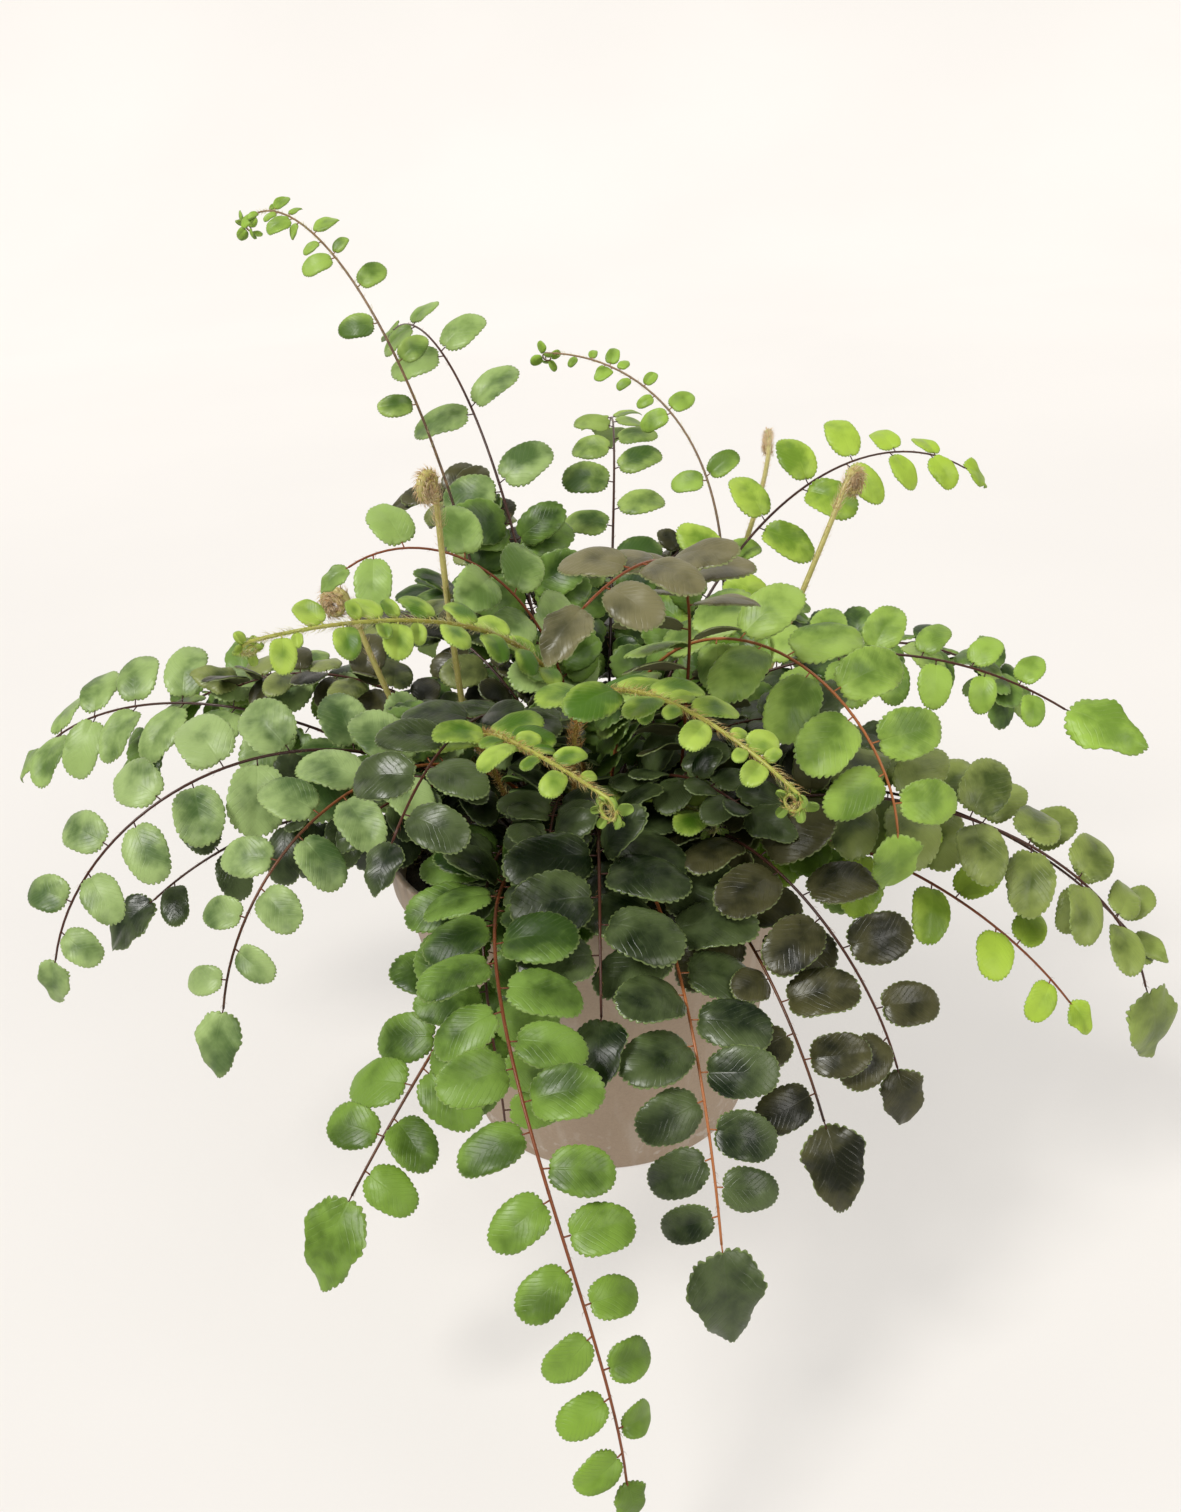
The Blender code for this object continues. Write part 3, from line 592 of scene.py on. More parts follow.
def holder_skin(extra):
    """The outside of the pot, its rim and the surface of the mix, for the clearance tests."""
    surface_top = MIX_TOP + MIX_BUMP + extra
    collar_foot = POT_HEIGHT - COLLAR_HEIGHT - extra
    rings = ((0.0, surface_top), (POT_RIM_RADIUS - 4 * MM, surface_top),
             (POT_RIM_RADIUS - 3 * MM, POT_HEIGHT + extra), (POT_RIM_RADIUS + extra, POT_HEIGHT + extra),
             (POT_RIM_RADIUS + extra, collar_foot),
             (POT_RIM_RADIUS - COLLAR_STEP + extra, collar_foot),
             (POT_FOOT_RADIUS + 2 * extra, 0.0))
    points = []
    faces = []
    for radius, height in rings:
        for step in range(POT_STEPS):
            turn = 2 * math.pi * step / POT_STEPS
            points.append(Vector((radius * math.cos(turn), radius * math.sin(turn), height)))
    for ring in range(len(rings) - 1):
        for step in range(POT_STEPS):
            first = ring * POT_STEPS + step
            second = ring * POT_STEPS + (step + 1) % POT_STEPS
            faces.append((first, second, second + POT_STEPS, first + POT_STEPS))
    return points, faces


def tries(count, size):
    """Offsets that swing out from zero: 0, size, -size, 2 size, -2 size and so on."""
    return [size * ((index + 1) // 2) * (1 if index % 2 else -1) for index in range(count)]


# %% [markdown]
# Stalks come first. Each tries roots on a spiral round its own place until it is clear of the
# others from the soil to its tip. Then every leaflet tries seven tilts at three sizes, and it is
# left out where none of them is clear. Pushing shapes apart in a simulation would also work, but
# it would move the fronds away from where the photograph shows them.

# %% Placing a stalk
def place_stalk(frond, crowd, roots):
    """Shifts a stalk's root along a spiral until it is clear of the stalks placed before it."""
    for index in range(ROOT_TRIES):
        reach = ROOT_SPREAD * math.sqrt(index)
        turn = SPIRAL_TURN * index
        shift = Vector((reach * math.cos(turn), reach * math.sin(turn), 0.0))
        stalk = Stalk(frond, shift)
        root = stalk.line[0]
        if math.hypot(root.x, root.y) > ROOT_CIRCLE:
            continue
        if min(((root - other).length for other in roots), default=1.0) < ROOT_SPACING:
            continue
        if crowd.clear(*stalk.skin(STALK_CLEAR)):
            roots.append(root)
            crowd.add(frond.name, *stalk.skin(STALK_CLEAR))
            return stalk
    return None


# %% Placing one leaflet
# Width against length of a side leaflet and of the last one; angles are in degrees
SIDE_WIDTH = (0.68, 0.80)
END_WIDTH = 0.70
FORWARD = (8, 24)
LIFT = (-16, 10)
ROLL = (-14, 14)
SMALLER = (1.0, 0.86, 0.72)
TILTS = 7
TILT_STEP = 13.0


def clear_blade(stalk, share, hand, size, draw, crowd, own):
    """A leaflet tilted, or made smaller, until it is clear; None where it never is."""
    length = size * MM
    width = length * (draw.uniform(*SIDE_WIDTH) if hand else END_WIDTH)
    forward = math.radians(draw.uniform(*FORWARD))
    lift = math.radians(draw.uniform(*LIFT))
    roll = math.radians(draw.uniform(*ROLL))
    for smaller in SMALLER:
        for tilt in tries(TILTS, TILT_STEP):
            blade = Blade(stalk, share, hand, length * smaller, width * smaller, forward,
                          lift + math.radians(tilt), roll)
            points, faces = blade.skin(OWN_CLEAR)
            if min(point.z for point in points) < FLOOR_GAP:
                continue
            if crowd.clear(points, faces, but=stalk.frond.name) and own.clear(points, faces):
                own.add(stalk.frond.name, points, faces)
                return blade
    return None


# %% Placing the leaflets of a frond
# The first and last leaflets of a stalk are smaller than those in its middle
FIRST_PLACE = 0.4
END_ROOM = 0.015
FOOT_SIZE = 0.84
SIZE_SWELL = 0.16
SIZE_SHIFT = 0.15
SIZE_SPREAD = (0.94, 1.06)
TAPER_CURVE = 1.5


def place_blades(stalk, crowd, draw):
    """The leaflets of a frond, left and right in turn, and the one at its tip."""
    frond = stalk.frond
    own = Crowd()
    blades = []
    first = 1 if frond.pair > 0 else -1
    for index in range(frond.count + 1):
        hand = -first if index % 2 else first
        step = 2 * (index // 2) + abs(frond.pair) * (index % 2) + FIRST_PLACE
        share = frond.bare + (stalk.end - END_ROOM - frond.bare) * step / frond.count
        if index == frond.count:
            hand = 0
            share = stalk.end
        place = (share - frond.bare) / (stalk.end - frond.bare)
        middle = math.sin(math.pi * min(1.0, place + SIZE_SHIFT))
        size = frond.leaf * (FOOT_SIZE + SIZE_SWELL * middle)
        size *= 1.0 + (frond.taper - 1.0) * place ** TAPER_CURVE
        size = size * draw.uniform(*SIZE_SPREAD) if hand else frond.tip
        blade = clear_blade(stalk, share, hand, size, draw, crowd, own)
        if blade:
            blades.append(blade)
    for blade in blades:
        crowd.add(frond.name, *blade.skin(CLEAR))
    return blades


# %% Grow the plant
LEAFLET_SEED = 5


def hook_skin(stalk):
    """A box round a crozier's curled end."""
    point, along, side, up = stalk.at(1.0)
    reach = HOOK_RADIUS + HOOK_ROOM
    middle = point - up * HOOK_RADIUS
    signs = [(a, b, c) for a in (-1, 1) for b in (-1, 1) for c in (-1, 1)]
    points = [middle + reach * (a * along + c * up) + HOOK_ROOM * b * side for a, b, c in signs]
    faces = [(0, 1, 3, 2), (4, 6, 7, 5), (0, 4, 5, 1), (2, 3, 7, 6), (0, 2, 6, 4), (1, 5, 7, 3)]
    return points, faces


def grow():
    """Places every stalk first, then every leaflet, and returns them frond by frond."""
    crowd = Crowd()
    crowd.add("holder", *holder_skin(HOLDER_CLEAR))
    roots = []
    croziers = []
    stalks = []
    stalk_crowd = Crowd()
    for crozier in CROZIERS:
        bare = Frond(crozier.name, "hairy", *crozier[1:], twist=0, bare=1.0, count=0, pair=0, leaf=0,
                     taper=1.0, tip=0)
        croziers.append(place_stalk(bare, stalk_crowd, roots))
    for frond in list(FRONDS) + filling_fronds():
        stalk = place_stalk(frond, stalk_crowd, roots)
        if stalk is None:
            print("no room for", frond.name)
            continue
        stalks.append(stalk)
    crowd.members += stalk_crowd.members
    for stalk in croziers:
        crowd.add(stalk.frond.name, *hook_skin(stalk))
    draw = random.Random(LEAFLET_SEED)
    fronds = [(stalk, place_blades(stalk, crowd, draw)) for stalk in stalks]
    return fronds, croziers, crowd


FRONDS_GROWN, CROZIERS_GROWN, CROWD = grow()
print(len(FRONDS_GROWN), "fronds,", sum(len(blades) for stalk, blades in FRONDS_GROWN), "leaflets")

# %% [markdown]
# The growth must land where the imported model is, or the fine pieces would stand beside the coarse
# ones. The cell below measures how far the boxes of the two differ, frond by frond.

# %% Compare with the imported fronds
def box_gap(stalk, blades):
    """The largest difference between a packed frond's box and its grown points, in metres."""
    low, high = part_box(stalk.frond.name)
    points = [stalk.at(stalk.end * index / ARC_STEPS)[0] for index in range(ARC_STEPS + 1)]
    for blade in blades:
        rim_right, end, rim_left = blade.rim()
        points += [*rim_right, end, *rim_left]
    grown = np.array(points)
    return max(*np.abs(grown.max(0) - np.array(high)), *np.abs(grown.min(0) - np.array(low))[:2])


gaps = sorted((box_gap(stalk, blades), stalk.frond.name) for stalk, blades in FRONDS_GROWN)
print("largest gap to the packed fronds, mm:", round(gaps[-1][0] / MM, 2), gaps[-1][1])

# %% [markdown]
# A packed frond carries only as many leaflets as its outline needs. The real crown is so dense
# that no soil and hardly a stalk shows through it. More leaflets are fitted in now, low on every
# stalk and all along the short fronds of the crown, with the same test, so they only fill room
# that is left.

# %% Leaflets that fill the crown
CROWN_SEED = 23
CROWN_STEP = 4.6 * MM
CROWN_FOOT = 0.13
CROWN_REACH = 74 * MM
CROWN_LIMIT = 0.9
CROWN_SIZES = (0.72, 1.0)
SHORT_FROND_REACH = 0.92
PAIR_SHIFT = 0.012


def crown_blades(stalk, blades, crowd, draw):
    """More leaflets for the part of a stalk inside the crown, where they are clear of everything."""
    frond = stalk.frond
    short = frond.name.startswith(("frond_crown", "frond_behind"))
    reach = max(frond.bare, min(CROWN_LIMIT * stalk.end, CROWN_REACH / stalk.length))
    last = SHORT_FROND_REACH if short else reach
    own = Crowd()
    for blade in blades:
        own.add(frond.name, *blade.skin(OWN_CLEAR))
    added = []
    count = int((last - CROWN_FOOT) * stalk.length / CROWN_STEP)
    for index in range(count):
        share = CROWN_FOOT + (last - CROWN_FOOT) * (index + 0.5) / count
        for hand in (1, -1):
            size = frond.leaf * draw.uniform(*CROWN_SIZES)
            blade = clear_blade(stalk, share + PAIR_SHIFT * hand, hand, size, draw, crowd, own)
            if blade:
                added.append(blade)
    for blade in added:
        crowd.add(frond.name, *blade.skin(CLEAR))
    return added


# %% Small leaflets for the young tips
TIP_LEAFLETS = 8
TIP_FIRST = 0.74
TIP_SPAN = 0.23
TIP_SIZE = 6.5
TIP_TAPER = 0.4
HAIRY = ("frond_young_middle", "frond_young_curl", "frond_young_right", "frond_young_left")
YOUNG = (*HAIRY, "frond_back_thin", "frond_tall_left")


def tip_blades(stalk, blades, crowd, draw):
    """Small leaflets between the last ones of a young frond, where they are clear of everything."""
    own = Crowd()
    for blade in blades:
        own.add(stalk.frond.name, *blade.skin(OWN_CLEAR))
    added = []
    for index in range(TIP_LEAFLETS):
        share = stalk.end * (TIP_FIRST + TIP_SPAN * index / TIP_LEAFLETS)
        size = TIP_SIZE * (1.0 - TIP_TAPER * index / TIP_LEAFLETS)
        blade = clear_blade(stalk, share, 1 if index % 2 else -1, size, draw, crowd, own)
        if blade:
            added.append(blade)
    return added


draw = random.Random(CROWN_SEED)
LEAVES = {}
for stalk, blades in reversed(FRONDS_GROWN):
    more = tip_blades if stalk.frond.name in YOUNG else crown_blades
    LEAVES[stalk.frond.name] = blades + more(stalk, blades, CROWD, draw)
print("leaflets with those of the crown:", sum(map(len, LEAVES.values())))

# %% [markdown]
# ## Leaflets
# A button fern's leaflet is a leathery button: round to oblong, a little heart-shaped where its
# thread of a stalk enters, with a margin of fine rounded teeth that rolls down. It could be a
# textured card, but the teeth and the rolled rim catch the light, so each leaflet is a closed
# mesh: rings of points from the toothed rim to the middle, once for the upper face and once for
# the lower one, joined round the rim.

# %% Rings of a leaflet
def ring_faces(outer, many, inner, few):
    """Triangles between an outer ring of many points and an inner ring of fewer."""
    faces = []
    i = j = 0
    while i < many or (few > 1 and j < few):
        if few == 1 or (j == few) or (i < many and (i + 1) * few <= (j + 1) * many):
            faces.append((outer + (i + 1) % many, outer + i % many, inner + j % few))
            i += 1
        else:
            faces.append((outer + i % many, inner + j % few, inner + (j + 1) % few))
            j += 1
    return faces


class Rings:
    """The rings of one leaflet mesh: (reach, points) from the rim to the middle, and its triangles."""

    def __init__(self, rings):
        self.reach = np.concatenate([np.full(count, reach) for reach, count in rings])
        self.turn = np.concatenate([np.arange(count) / count for reach, count in rings]) * 2 * math.pi
        half = len(self.reach)
        counts = [count for reach, count in rings]
        faces = []
        start = 0
        for many, few in zip(counts, counts[1:]):
            faces += ring_faces(start, many, start + many, few)
            start += many
        lower = [(a + half, c + half, b + half) for a, b, c in faces]
        edge = []
        for step in range(counts[0]):
            after = (step + 1) % counts[0]
            edge += [(step, after, after + half), (step, after + half, step + half)]
        self.faces = np.array(faces + lower + edge)


FINE = Rings(((1.0, 90), (0.93, 45), (0.72, 45), (0.40, 15), (0.0, 1)))
PLAIN = Rings(((1.0, 54), (0.90, 27), (0.50, 12), (0.0, 1)))
print(len(FINE.faces), "triangles in a front leaflet,", len(PLAIN.faces), "in one deep in the crown")

# %% [markdown]
# The outline starts as a rounded oblong. A side leaflet is widest a little below its middle and
# notched at its foot. The last leaflet of a frond is a larger kite: its widest part lies near the
# foot, its flanks wave, and its blunt tip leans to one side. Three points of the rim make one
# tooth, two on its rounded end and one in the notch beside it, and some notches are deeper.

# %% The outline of a leaflet
ROUNDNESS = 0.90
TOOTH_POINTS = 3
TOOTH_DEPTH = 0.070
TOOTH_MEAN = 0.75
TOOTH_SPREAD = 0.35
TOOTH_BEAT = 1.7
STALKLET_SHARE = 0.03
NOTCH = 0.035
NOTCH_WIDTH = 0.30
SLIM = 0.93
RIM_WAVE = 0.022
RIM_WAVES = 5
KITE_WIDTH = 1.32
KITE_TAPER = 0.80
KITE_WAVE = 0.080
KITE_WAVES = 14
KITE_LEAN = 0.22


def outline(rings, hand, egg, phase):
    """Shares along and across a leaflet for every ring point of one face."""
    along = np.cos(rings.turn)
    across = np.sin(rings.turn)
    squareness = ROUNDNESS if hand else 1.0
    along = np.sign(along) * np.abs(along) ** squareness
    across = np.sign(across) * np.abs(across) ** squareness
    step = np.arange(len(rings.turn))
    depth = TOOTH_DEPTH * (TOOTH_MEAN + TOOTH_SPREAD * np.sin(TOOTH_BEAT * step + phase))
    tooth = np.where(step % TOOTH_POINTS == 0, 1 - depth, 1.0)
    reach = rings.reach * np.where(rings.reach == 1.0, tooth, 1.0)
    place = 0.5 * (1 - reach * along)
    wide = reach * across
    if hand:
        wide = SLIM * wide * (1 + egg * (0.5 - place))
        wide = wide * (1 + RIM_WAVE * np.sin(RIM_WAVES * rings.turn + phase) * reach ** 2)
        place = place + NOTCH * np.exp(-(across / NOTCH_WIDTH) ** 2) * (along > 0) * reach
    else:
        wide = wide * (KITE_WIDTH - KITE_TAPER * place)
        wide = wide * (1 + KITE_WAVE * np.sin(KITE_WAVES * place + phase) * reach ** 2)
        wide = wide + KITE_LEAN * math.sin(phase) * place ** 3
    return STALKLET_SHARE + (1 - STALKLET_SHARE) * place, wide


for hand, kind in ((1, "side leaflet"), (0, "last leaflet")):
    along, across = outline(FINE, hand, 0.0, 0.0)
    print("outline of a", kind, "from", round(along.min(), 3), "to", round(along.max(), 3),
          "along and", round(np.ptp(across) / 2, 2), "of its width")

# %% [markdown]
# No two leaflets lie the same way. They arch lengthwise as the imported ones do, fold a little along
# the midrib, and their rims wave and roll under. These heights are about a millimetre at most,
# because the growth left little more air than that between neighbours.

# %% The relief of a leaflet
LEAFLET_THICK = 0.34 * MM
RIM_THICK = 0.18 * MM
RIM_ROLL = 0.26 * MM
RIM_START = 0.86
CUP_LEVEL = 0.35
SIDE_WAVES = 3
END_WAVES = 4
RIPPLES = 7
RIPPLE_SHARE = 0.4

# Ranges of the draws for one leaflet, as shares of its length or width
EGG = (-0.10, 0.26)
CUP = (0.010, 0.105)
BUD_CUP = 0.22
FOLD = (0.0, 0.050)
WAVE = (0.006, 0.024)
KITE_RIPPLE = 0.032
LEAN = (-0.020, 0.020)

Bud = namedtuple("Bud", "foot reach across face length width hand share")


def leaflet_points(rings, blade, draw):
    """Points of both faces of a leaflet, with its shares along and across."""
    egg = draw.uniform(*EGG)
    phase = draw.uniform(0, 2 * math.pi)
    cup = draw.uniform(*CUP) + (BUD_CUP if isinstance(blade, Bud) else 0.0)
    fold = draw.uniform(*FOLD)
    wave = draw.uniform(*WAVE) if blade.hand else KITE_RIPPLE
    lean = draw.uniform(*LEAN)
    along, across = outline(rings, blade.hand, egg, phase)
    side = np.abs(across)
    arch = ARCH_RISE * np.sin(math.pi * np.minimum(along, 1)) - ARCH_FALL * along ** 2
    height = blade.length * ARCH_SHARE * arch
    height = height + blade.width * (fold * side + cup * (CUP_LEVEL - side ** 2) + lean * across)
    waves = SIDE_WAVES if blade.hand else END_WAVES
    ripple = np.sin(waves * rings.turn + phase) + RIPPLE_SHARE * np.sin(RIPPLES * rings.turn - phase)
    height = height + wave * blade.length * rings.reach ** 3 * ripple
    height = height - RIM_ROLL * (np.clip(rings.reach - RIM_START, 0, 1) / (1 - RIM_START)) ** 2
    thick = 0.5 * np.where(rings.reach == 1.0, RIM_THICK, LEAFLET_THICK)
    axes = [np.array(axis) for axis in (blade.reach, blade.across, blade.face)]
    flat = (np.array(blade.foot) + np.outer(blade.length * along, axes[0])
            + np.outer(0.5 * blade.width * across, axes[1]))
    upper = flat + np.outer(height + thick, axes[2])
    lower = flat + np.outer(height - thick, axes[2])
    return np.concatenate([upper, lower]), along, across


# %% [markdown]
# The newest fronds still unroll: the stalk ends in a small coil with bead-like leaflets round it.
# A coil is a circle whose radius shrinks as it turns. The same rule makes the small coils of the
# young fronds here and the woolly ones of the croziers further down.

# %% Coils and their buds
CURL_TURNS = 1.35
CURL_STEPS = 16
CURL_SHRINK = 0.72
COIL_SWAY = 0.22
BUD_REACH = 0.8
BUD_WIDTH = 0.85
BUD_OUT = 0.95
BUD_ASIDE = 0.7
BUD_TAPER = 0.045
BUD_SPREAD = (0.85, 1.1)
CURLED = {
    # frond name: buds round its coil, the length of the largest and the coil's radius
    "frond_young_middle": (9, 3.3 * MM, 2.7 * MM), "frond_young_curl": (10, 3.6 * MM, 3.0 * MM),
    "frond_young_left": (7, 3.2 * MM, 2.4 * MM), "frond_tall_left": (6, 5.2 * MM, 1.9 * MM),
    "frond_back_thin": (6, 4.4 * MM, 1.8 * MM), "frond_young_right": (5, 3.6 * MM, 2.2 * MM),
}


def coil(end, radius, turns, steps, shrink):
    """Points of a coil that starts at the end of a stalk, and the way outwards at each."""
    point, along, side, up = end
    middle = point - up * radius
    line, outward = [], []
    for index in range(1, steps + 1):
        share = index / steps
        turn = 2 * math.pi * turns * share
        out = math.cos(turn) * up + math.sin(turn) * along
        line.append(middle + radius * (1 - shrink * share) * out + side * (COIL_SWAY * radius * share))
        outward.append(out)
    return line, outward


def young_coil(stalk):
    """The coil at the tip of a young frond."""
    radius = CURLED[stalk.frond.name][2]
    return coil(stalk.at(stalk.end), radius, CURL_TURNS, CURL_STEPS, CURL_SHRINK)


def curl_buds(stalk, draw):
    """The small leaflets round the coil of a young frond."""
    count, size = CURLED[stalk.frond.name][:2]
    level = stalk.at(stalk.end)[2]
    line, outward = young_coil(stalk)
    buds = []
    for index in range(count):
        place = int(index * BUD_REACH * CURL_STEPS / count)
        hand = 1 if index % 2 else -1
        reach = (BUD_OUT * outward[place] + hand * BUD_ASIDE * level).normalized()
        ahead = (line[place + 1] - line[place]).normalized()
        across = (ahead - ahead.dot(reach) * reach).normalized()
        length = size * (1 - BUD_TAPER * index) * draw.uniform(*BUD_SPREAD)
        buds.append(Bud(line[place], reach, across, reach.cross(across), length,
                        BUD_WIDTH * length, hand, 1.0))
    return buds


# %% [markdown]
# The finish needs to know where it is on a leaflet, how old the leaflet is and which face it is
# on. Those numbers are stored with the points of the mesh, three at a time, as the finish can't
# tell one leaflet from the next by itself. New growth at a frond's tip is fresher than its foot.

# %% Make a piece
def add_piece(name, points, faces, finishes, tags, node, slot_name, which=None):
    """Makes a mesh piece with its stored numbers, ties it to the root of the frame and hides the imported
    node it stands for.
    """
    mesh = bpy.data.meshes.new(name)
    mesh.from_pydata(points, [], faces)
    mesh.shade_smooth()
    for title, values in tags.items():
        stored = mesh.attributes.new(title, "FLOAT_VECTOR", "POINT")
        stored.data.foreach_set("vector", np.asarray(values, np.float32).ravel())
    for finish in finishes:
        mesh.materials.append(finish)
    if which is not None:
        mesh.polygons.foreach_set("material_index", np.asarray(which, np.int32))
    piece = bpy.data.objects.new(name, mesh)
    bpy.context.scene.collection.objects.link(piece)
    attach(piece, "root")
    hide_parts(node)
    return piece


# %% Build the leaflets of a frond
FRESH = {
    # frond name: freshness at its lowest leaflet and at its last
    "frond_front_long": (0.10, 0.75), "frond_right_arch": (0.15, 0.65),
    "frond_front_left": (0.10, 0.55), "frond_right_low": (0.15, 0.60),
    "frond_right_middle": (0.20, 0.55), "frond_front_low": (0.0, 0.45),
    "frond_upper_left": (0.20, 0.60), "frond_over_top": (0.0, 0.30),
    "frond_back_left": (0.20, 0.60), "frond_left_high": (0.10, 0.40),
    "frond_back_thin": (0.45, 1.0), "frond_right_high": (0.30, 0.75),
    "frond_right_front": (0.40, 0.90), "frond_back_right": (0.30, 0.90),
    "frond_tall_left": (0.20, 1.0),
}
FRESH_REST = (0.0, 0.12)
AGE_CURVE = 1.3
OWN_TINT = 0.62
TINT_RISE = 1.3
END_SHADE = 0.55
CREASE_ANGLE = 60
LEAF_SEED = 41


def add_leaflets(stalk, blades, few, finishes, draw):
    """All leaflets of one frond as one piece: the first few are fine, the rest plainer and in the second
    finish, a darker one that is painted shade.
    """
    points, faces, places, sorts, which = [], [], [], [], []
    low, high = FRESH.get(stalk.frond.name, FRESH_REST)
    first = 0
    for index, blade in enumerate(blades):
        rings = FINE if index < few else PLAIN
        spots, along, across = leaflet_points(rings, blade, draw)
        place = (blade.share - stalk.frond.bare) / (stalk.end - stalk.frond.bare)
        age = low + (high - low) * max(0.0, place) ** AGE_CURVE
        # Leaflets low on a stalk are darker, partly with age and partly as painted shade of the crown
        tint = OWN_TINT * draw.random() + (1 - OWN_TINT) * min(1.0, max(0.0, place) * TINT_RISE)
        tint *= 1.0 if blade.hand else END_SHADE
        count = len(along)
        faces.append(rings.faces + first)
        which.append(np.full(len(rings.faces), 0 if index < few else 1))
        first += 2 * count
        points.append(spots)
        places.append(np.tile(np.column_stack([along, across, rings.reach]), (2, 1)))
        under = np.repeat([0.0, 1.0], count)
        sorts.append(np.column_stack([np.full(2 * count, tint), np.full(2 * count, age), under]))
    name = stalk.frond.name.replace("frond", "leaflets")
    tags = {"leaf_place": np.concatenate(places), "leaf_sort": np.concatenate(sorts)}
    piece = add_piece(name, np.concatenate(points), np.concatenate(faces), finishes, tags,
                      stalk.frond.name, "leaf_" + stalk.frond.tone, np.concatenate(which))
    piece.data.set_sharp_from_angle(angle=math.radians(CREASE_ANGLE))
    return piece


# %% [markdown]
# ### The finish of a leaflet
# Up close a leaflet is not one green. Its veins fork from the midrib towards the rim and show as
# faint pale lines, the blade between them is mottled, the rolled rim is a thin pale line, partly its
# own pale margin and partly a painted highlight, and the underside is paler and dull. Light that
# catches the blade is painted in too: one side and one end of each leaflet are painted lighter than
# the other, and so is a band near the rim. The veins are drawn with shares along and across the
# leaflet: lines of equal "along minus a part of across" run out and forward, as real ones do. Leaves
# also let light through, so a share of the shader passes it on. Only the colours, that share and the
# roughness differ from tone to tone, so one function makes all the greens from a table.

# %% Greens
LeafTone = namedtuple("LeafTone", "deep light fresh under through rough")

LEAF_TONES = {
    # colours of deep and light spots, of new growth and of the underside; the share of light that
    # passes through; roughness
    "dark": LeafTone((0.004, 0.011, 0.002), (0.080, 0.112, 0.038), (0.10, 0.18, 0.03),
                     (0.08, 0.12, 0.05), 0.06, 0.31),
    "bronze": LeafTone((0.006, 0.007, 0.002), (0.076, 0.072, 0.026), (0.10, 0.12, 0.035),
                       (0.09, 0.10, 0.04), 0.06, 0.31),
    "taupe": LeafTone((0.034, 0.032, 0.012), (0.190, 0.168, 0.082), (0.24, 0.24, 0.10),
                      (0.16, 0.16, 0.08), 0.10, 0.36),
    "olive": LeafTone((0.018, 0.032, 0.005), (0.250, 0.290, 0.085), (0.29, 0.40, 0.07),
                      (0.17, 0.20, 0.08), 0.12, 0.38),
    "mid": LeafTone((0.045, 0.100, 0.014), (0.370, 0.510, 0.120), (0.34, 0.55, 0.06),
                    (0.23, 0.32, 0.11), 0.18, 0.40),
    # The pale grey-green below is partly the left fronds' own colour and partly a painted sheen of the
    # light from the upper left
    "silver": LeafTone((0.055, 0.108, 0.026), (0.370, 0.500, 0.185), (0.33, 0.52, 0.08),
                       (0.26, 0.34, 0.15), 0.16, 0.38),
    "leafy": LeafTone((0.011, 0.036, 0.003), (0.182, 0.304, 0.055), (0.25, 0.42, 0.04),
                      (0.17, 0.26, 0.07), 0.16, 0.38),
    "bright": LeafTone((0.070, 0.165, 0.010), (0.480, 0.650, 0.100), (0.46, 0.66, 0.06),
                       (0.28, 0.42, 0.10), 0.22, 0.40),
}
# Fronds whose tone is told apart more finely than by the four tones of the rows above
LEAF_TONE_OF = {
    "frond_front_right": "bronze", "frond_front_corner": "bronze", "frond_left_long": "silver",
    "frond_left_high": "silver", "frond_left_front": "silver", "frond_tall_left": "mid",
    "frond_back_left": "silver", "frond_upper_left": "silver", "frond_front_low": "leafy",
    "frond_front_long": "leafy", "frond_front_left": "leafy", "frond_over_top": "taupe",
}
# The darker tone of the leaflets deep in the crown: painted shade
PAINTED_SHADE_TONE = {"bright": "leafy", "silver": "leafy", "mid": "leafy", "leafy": "dark", "olive": "bronze",
              "taupe": "bronze", "bronze": "bronze", "dark": "dark"}
print(len(LEAF_TONES), "tones,", len(LEAF_TONE_OF), "fronds with one of their own")

# %% Veins
VEINS = 10.0
VEIN_SLANT = 0.42
VEIN_WANDER = 0.10


def vein_lines(start, along, across):
    """1 on the midrib and on the side veins, 0 between them."""
    wander = grain(start, 4.0, 1.0) * VEIN_WANDER
    side = across.maths("ABSOLUTE", across)
    run = (along - side * VEIN_SLANT + wander) * VEINS
    near = run.maths("PINGPONG", run, 0.5)
    side_veins = near.band(0.02, 0.13, 1.0, 0.0) * side.band(0.02, 0.95, 0.35, 1.0)
    midrib = side.band(0.012, 0.05, 1.0, 0.0) * along.band(0.05, 0.75, 1.0, 0.0)
    return side_veins.maths("MAXIMUM", side_veins, midrib)


# %% Leaf finish
GLOW = (0.30, 0.50, 0.05)
# Colour of the thin rim: the margin's own paleness and a painted highlight
RIM_PALE_AND_HIGHLIGHT = (0.32, 0.42, 0.14)
RIM_SHARE = 0.5
VEIN_SHARE = 0.13
UNDER_SHARE = 0.85
LEAF_POLISH = 0.40
LEAF_RELIEF = 0.36


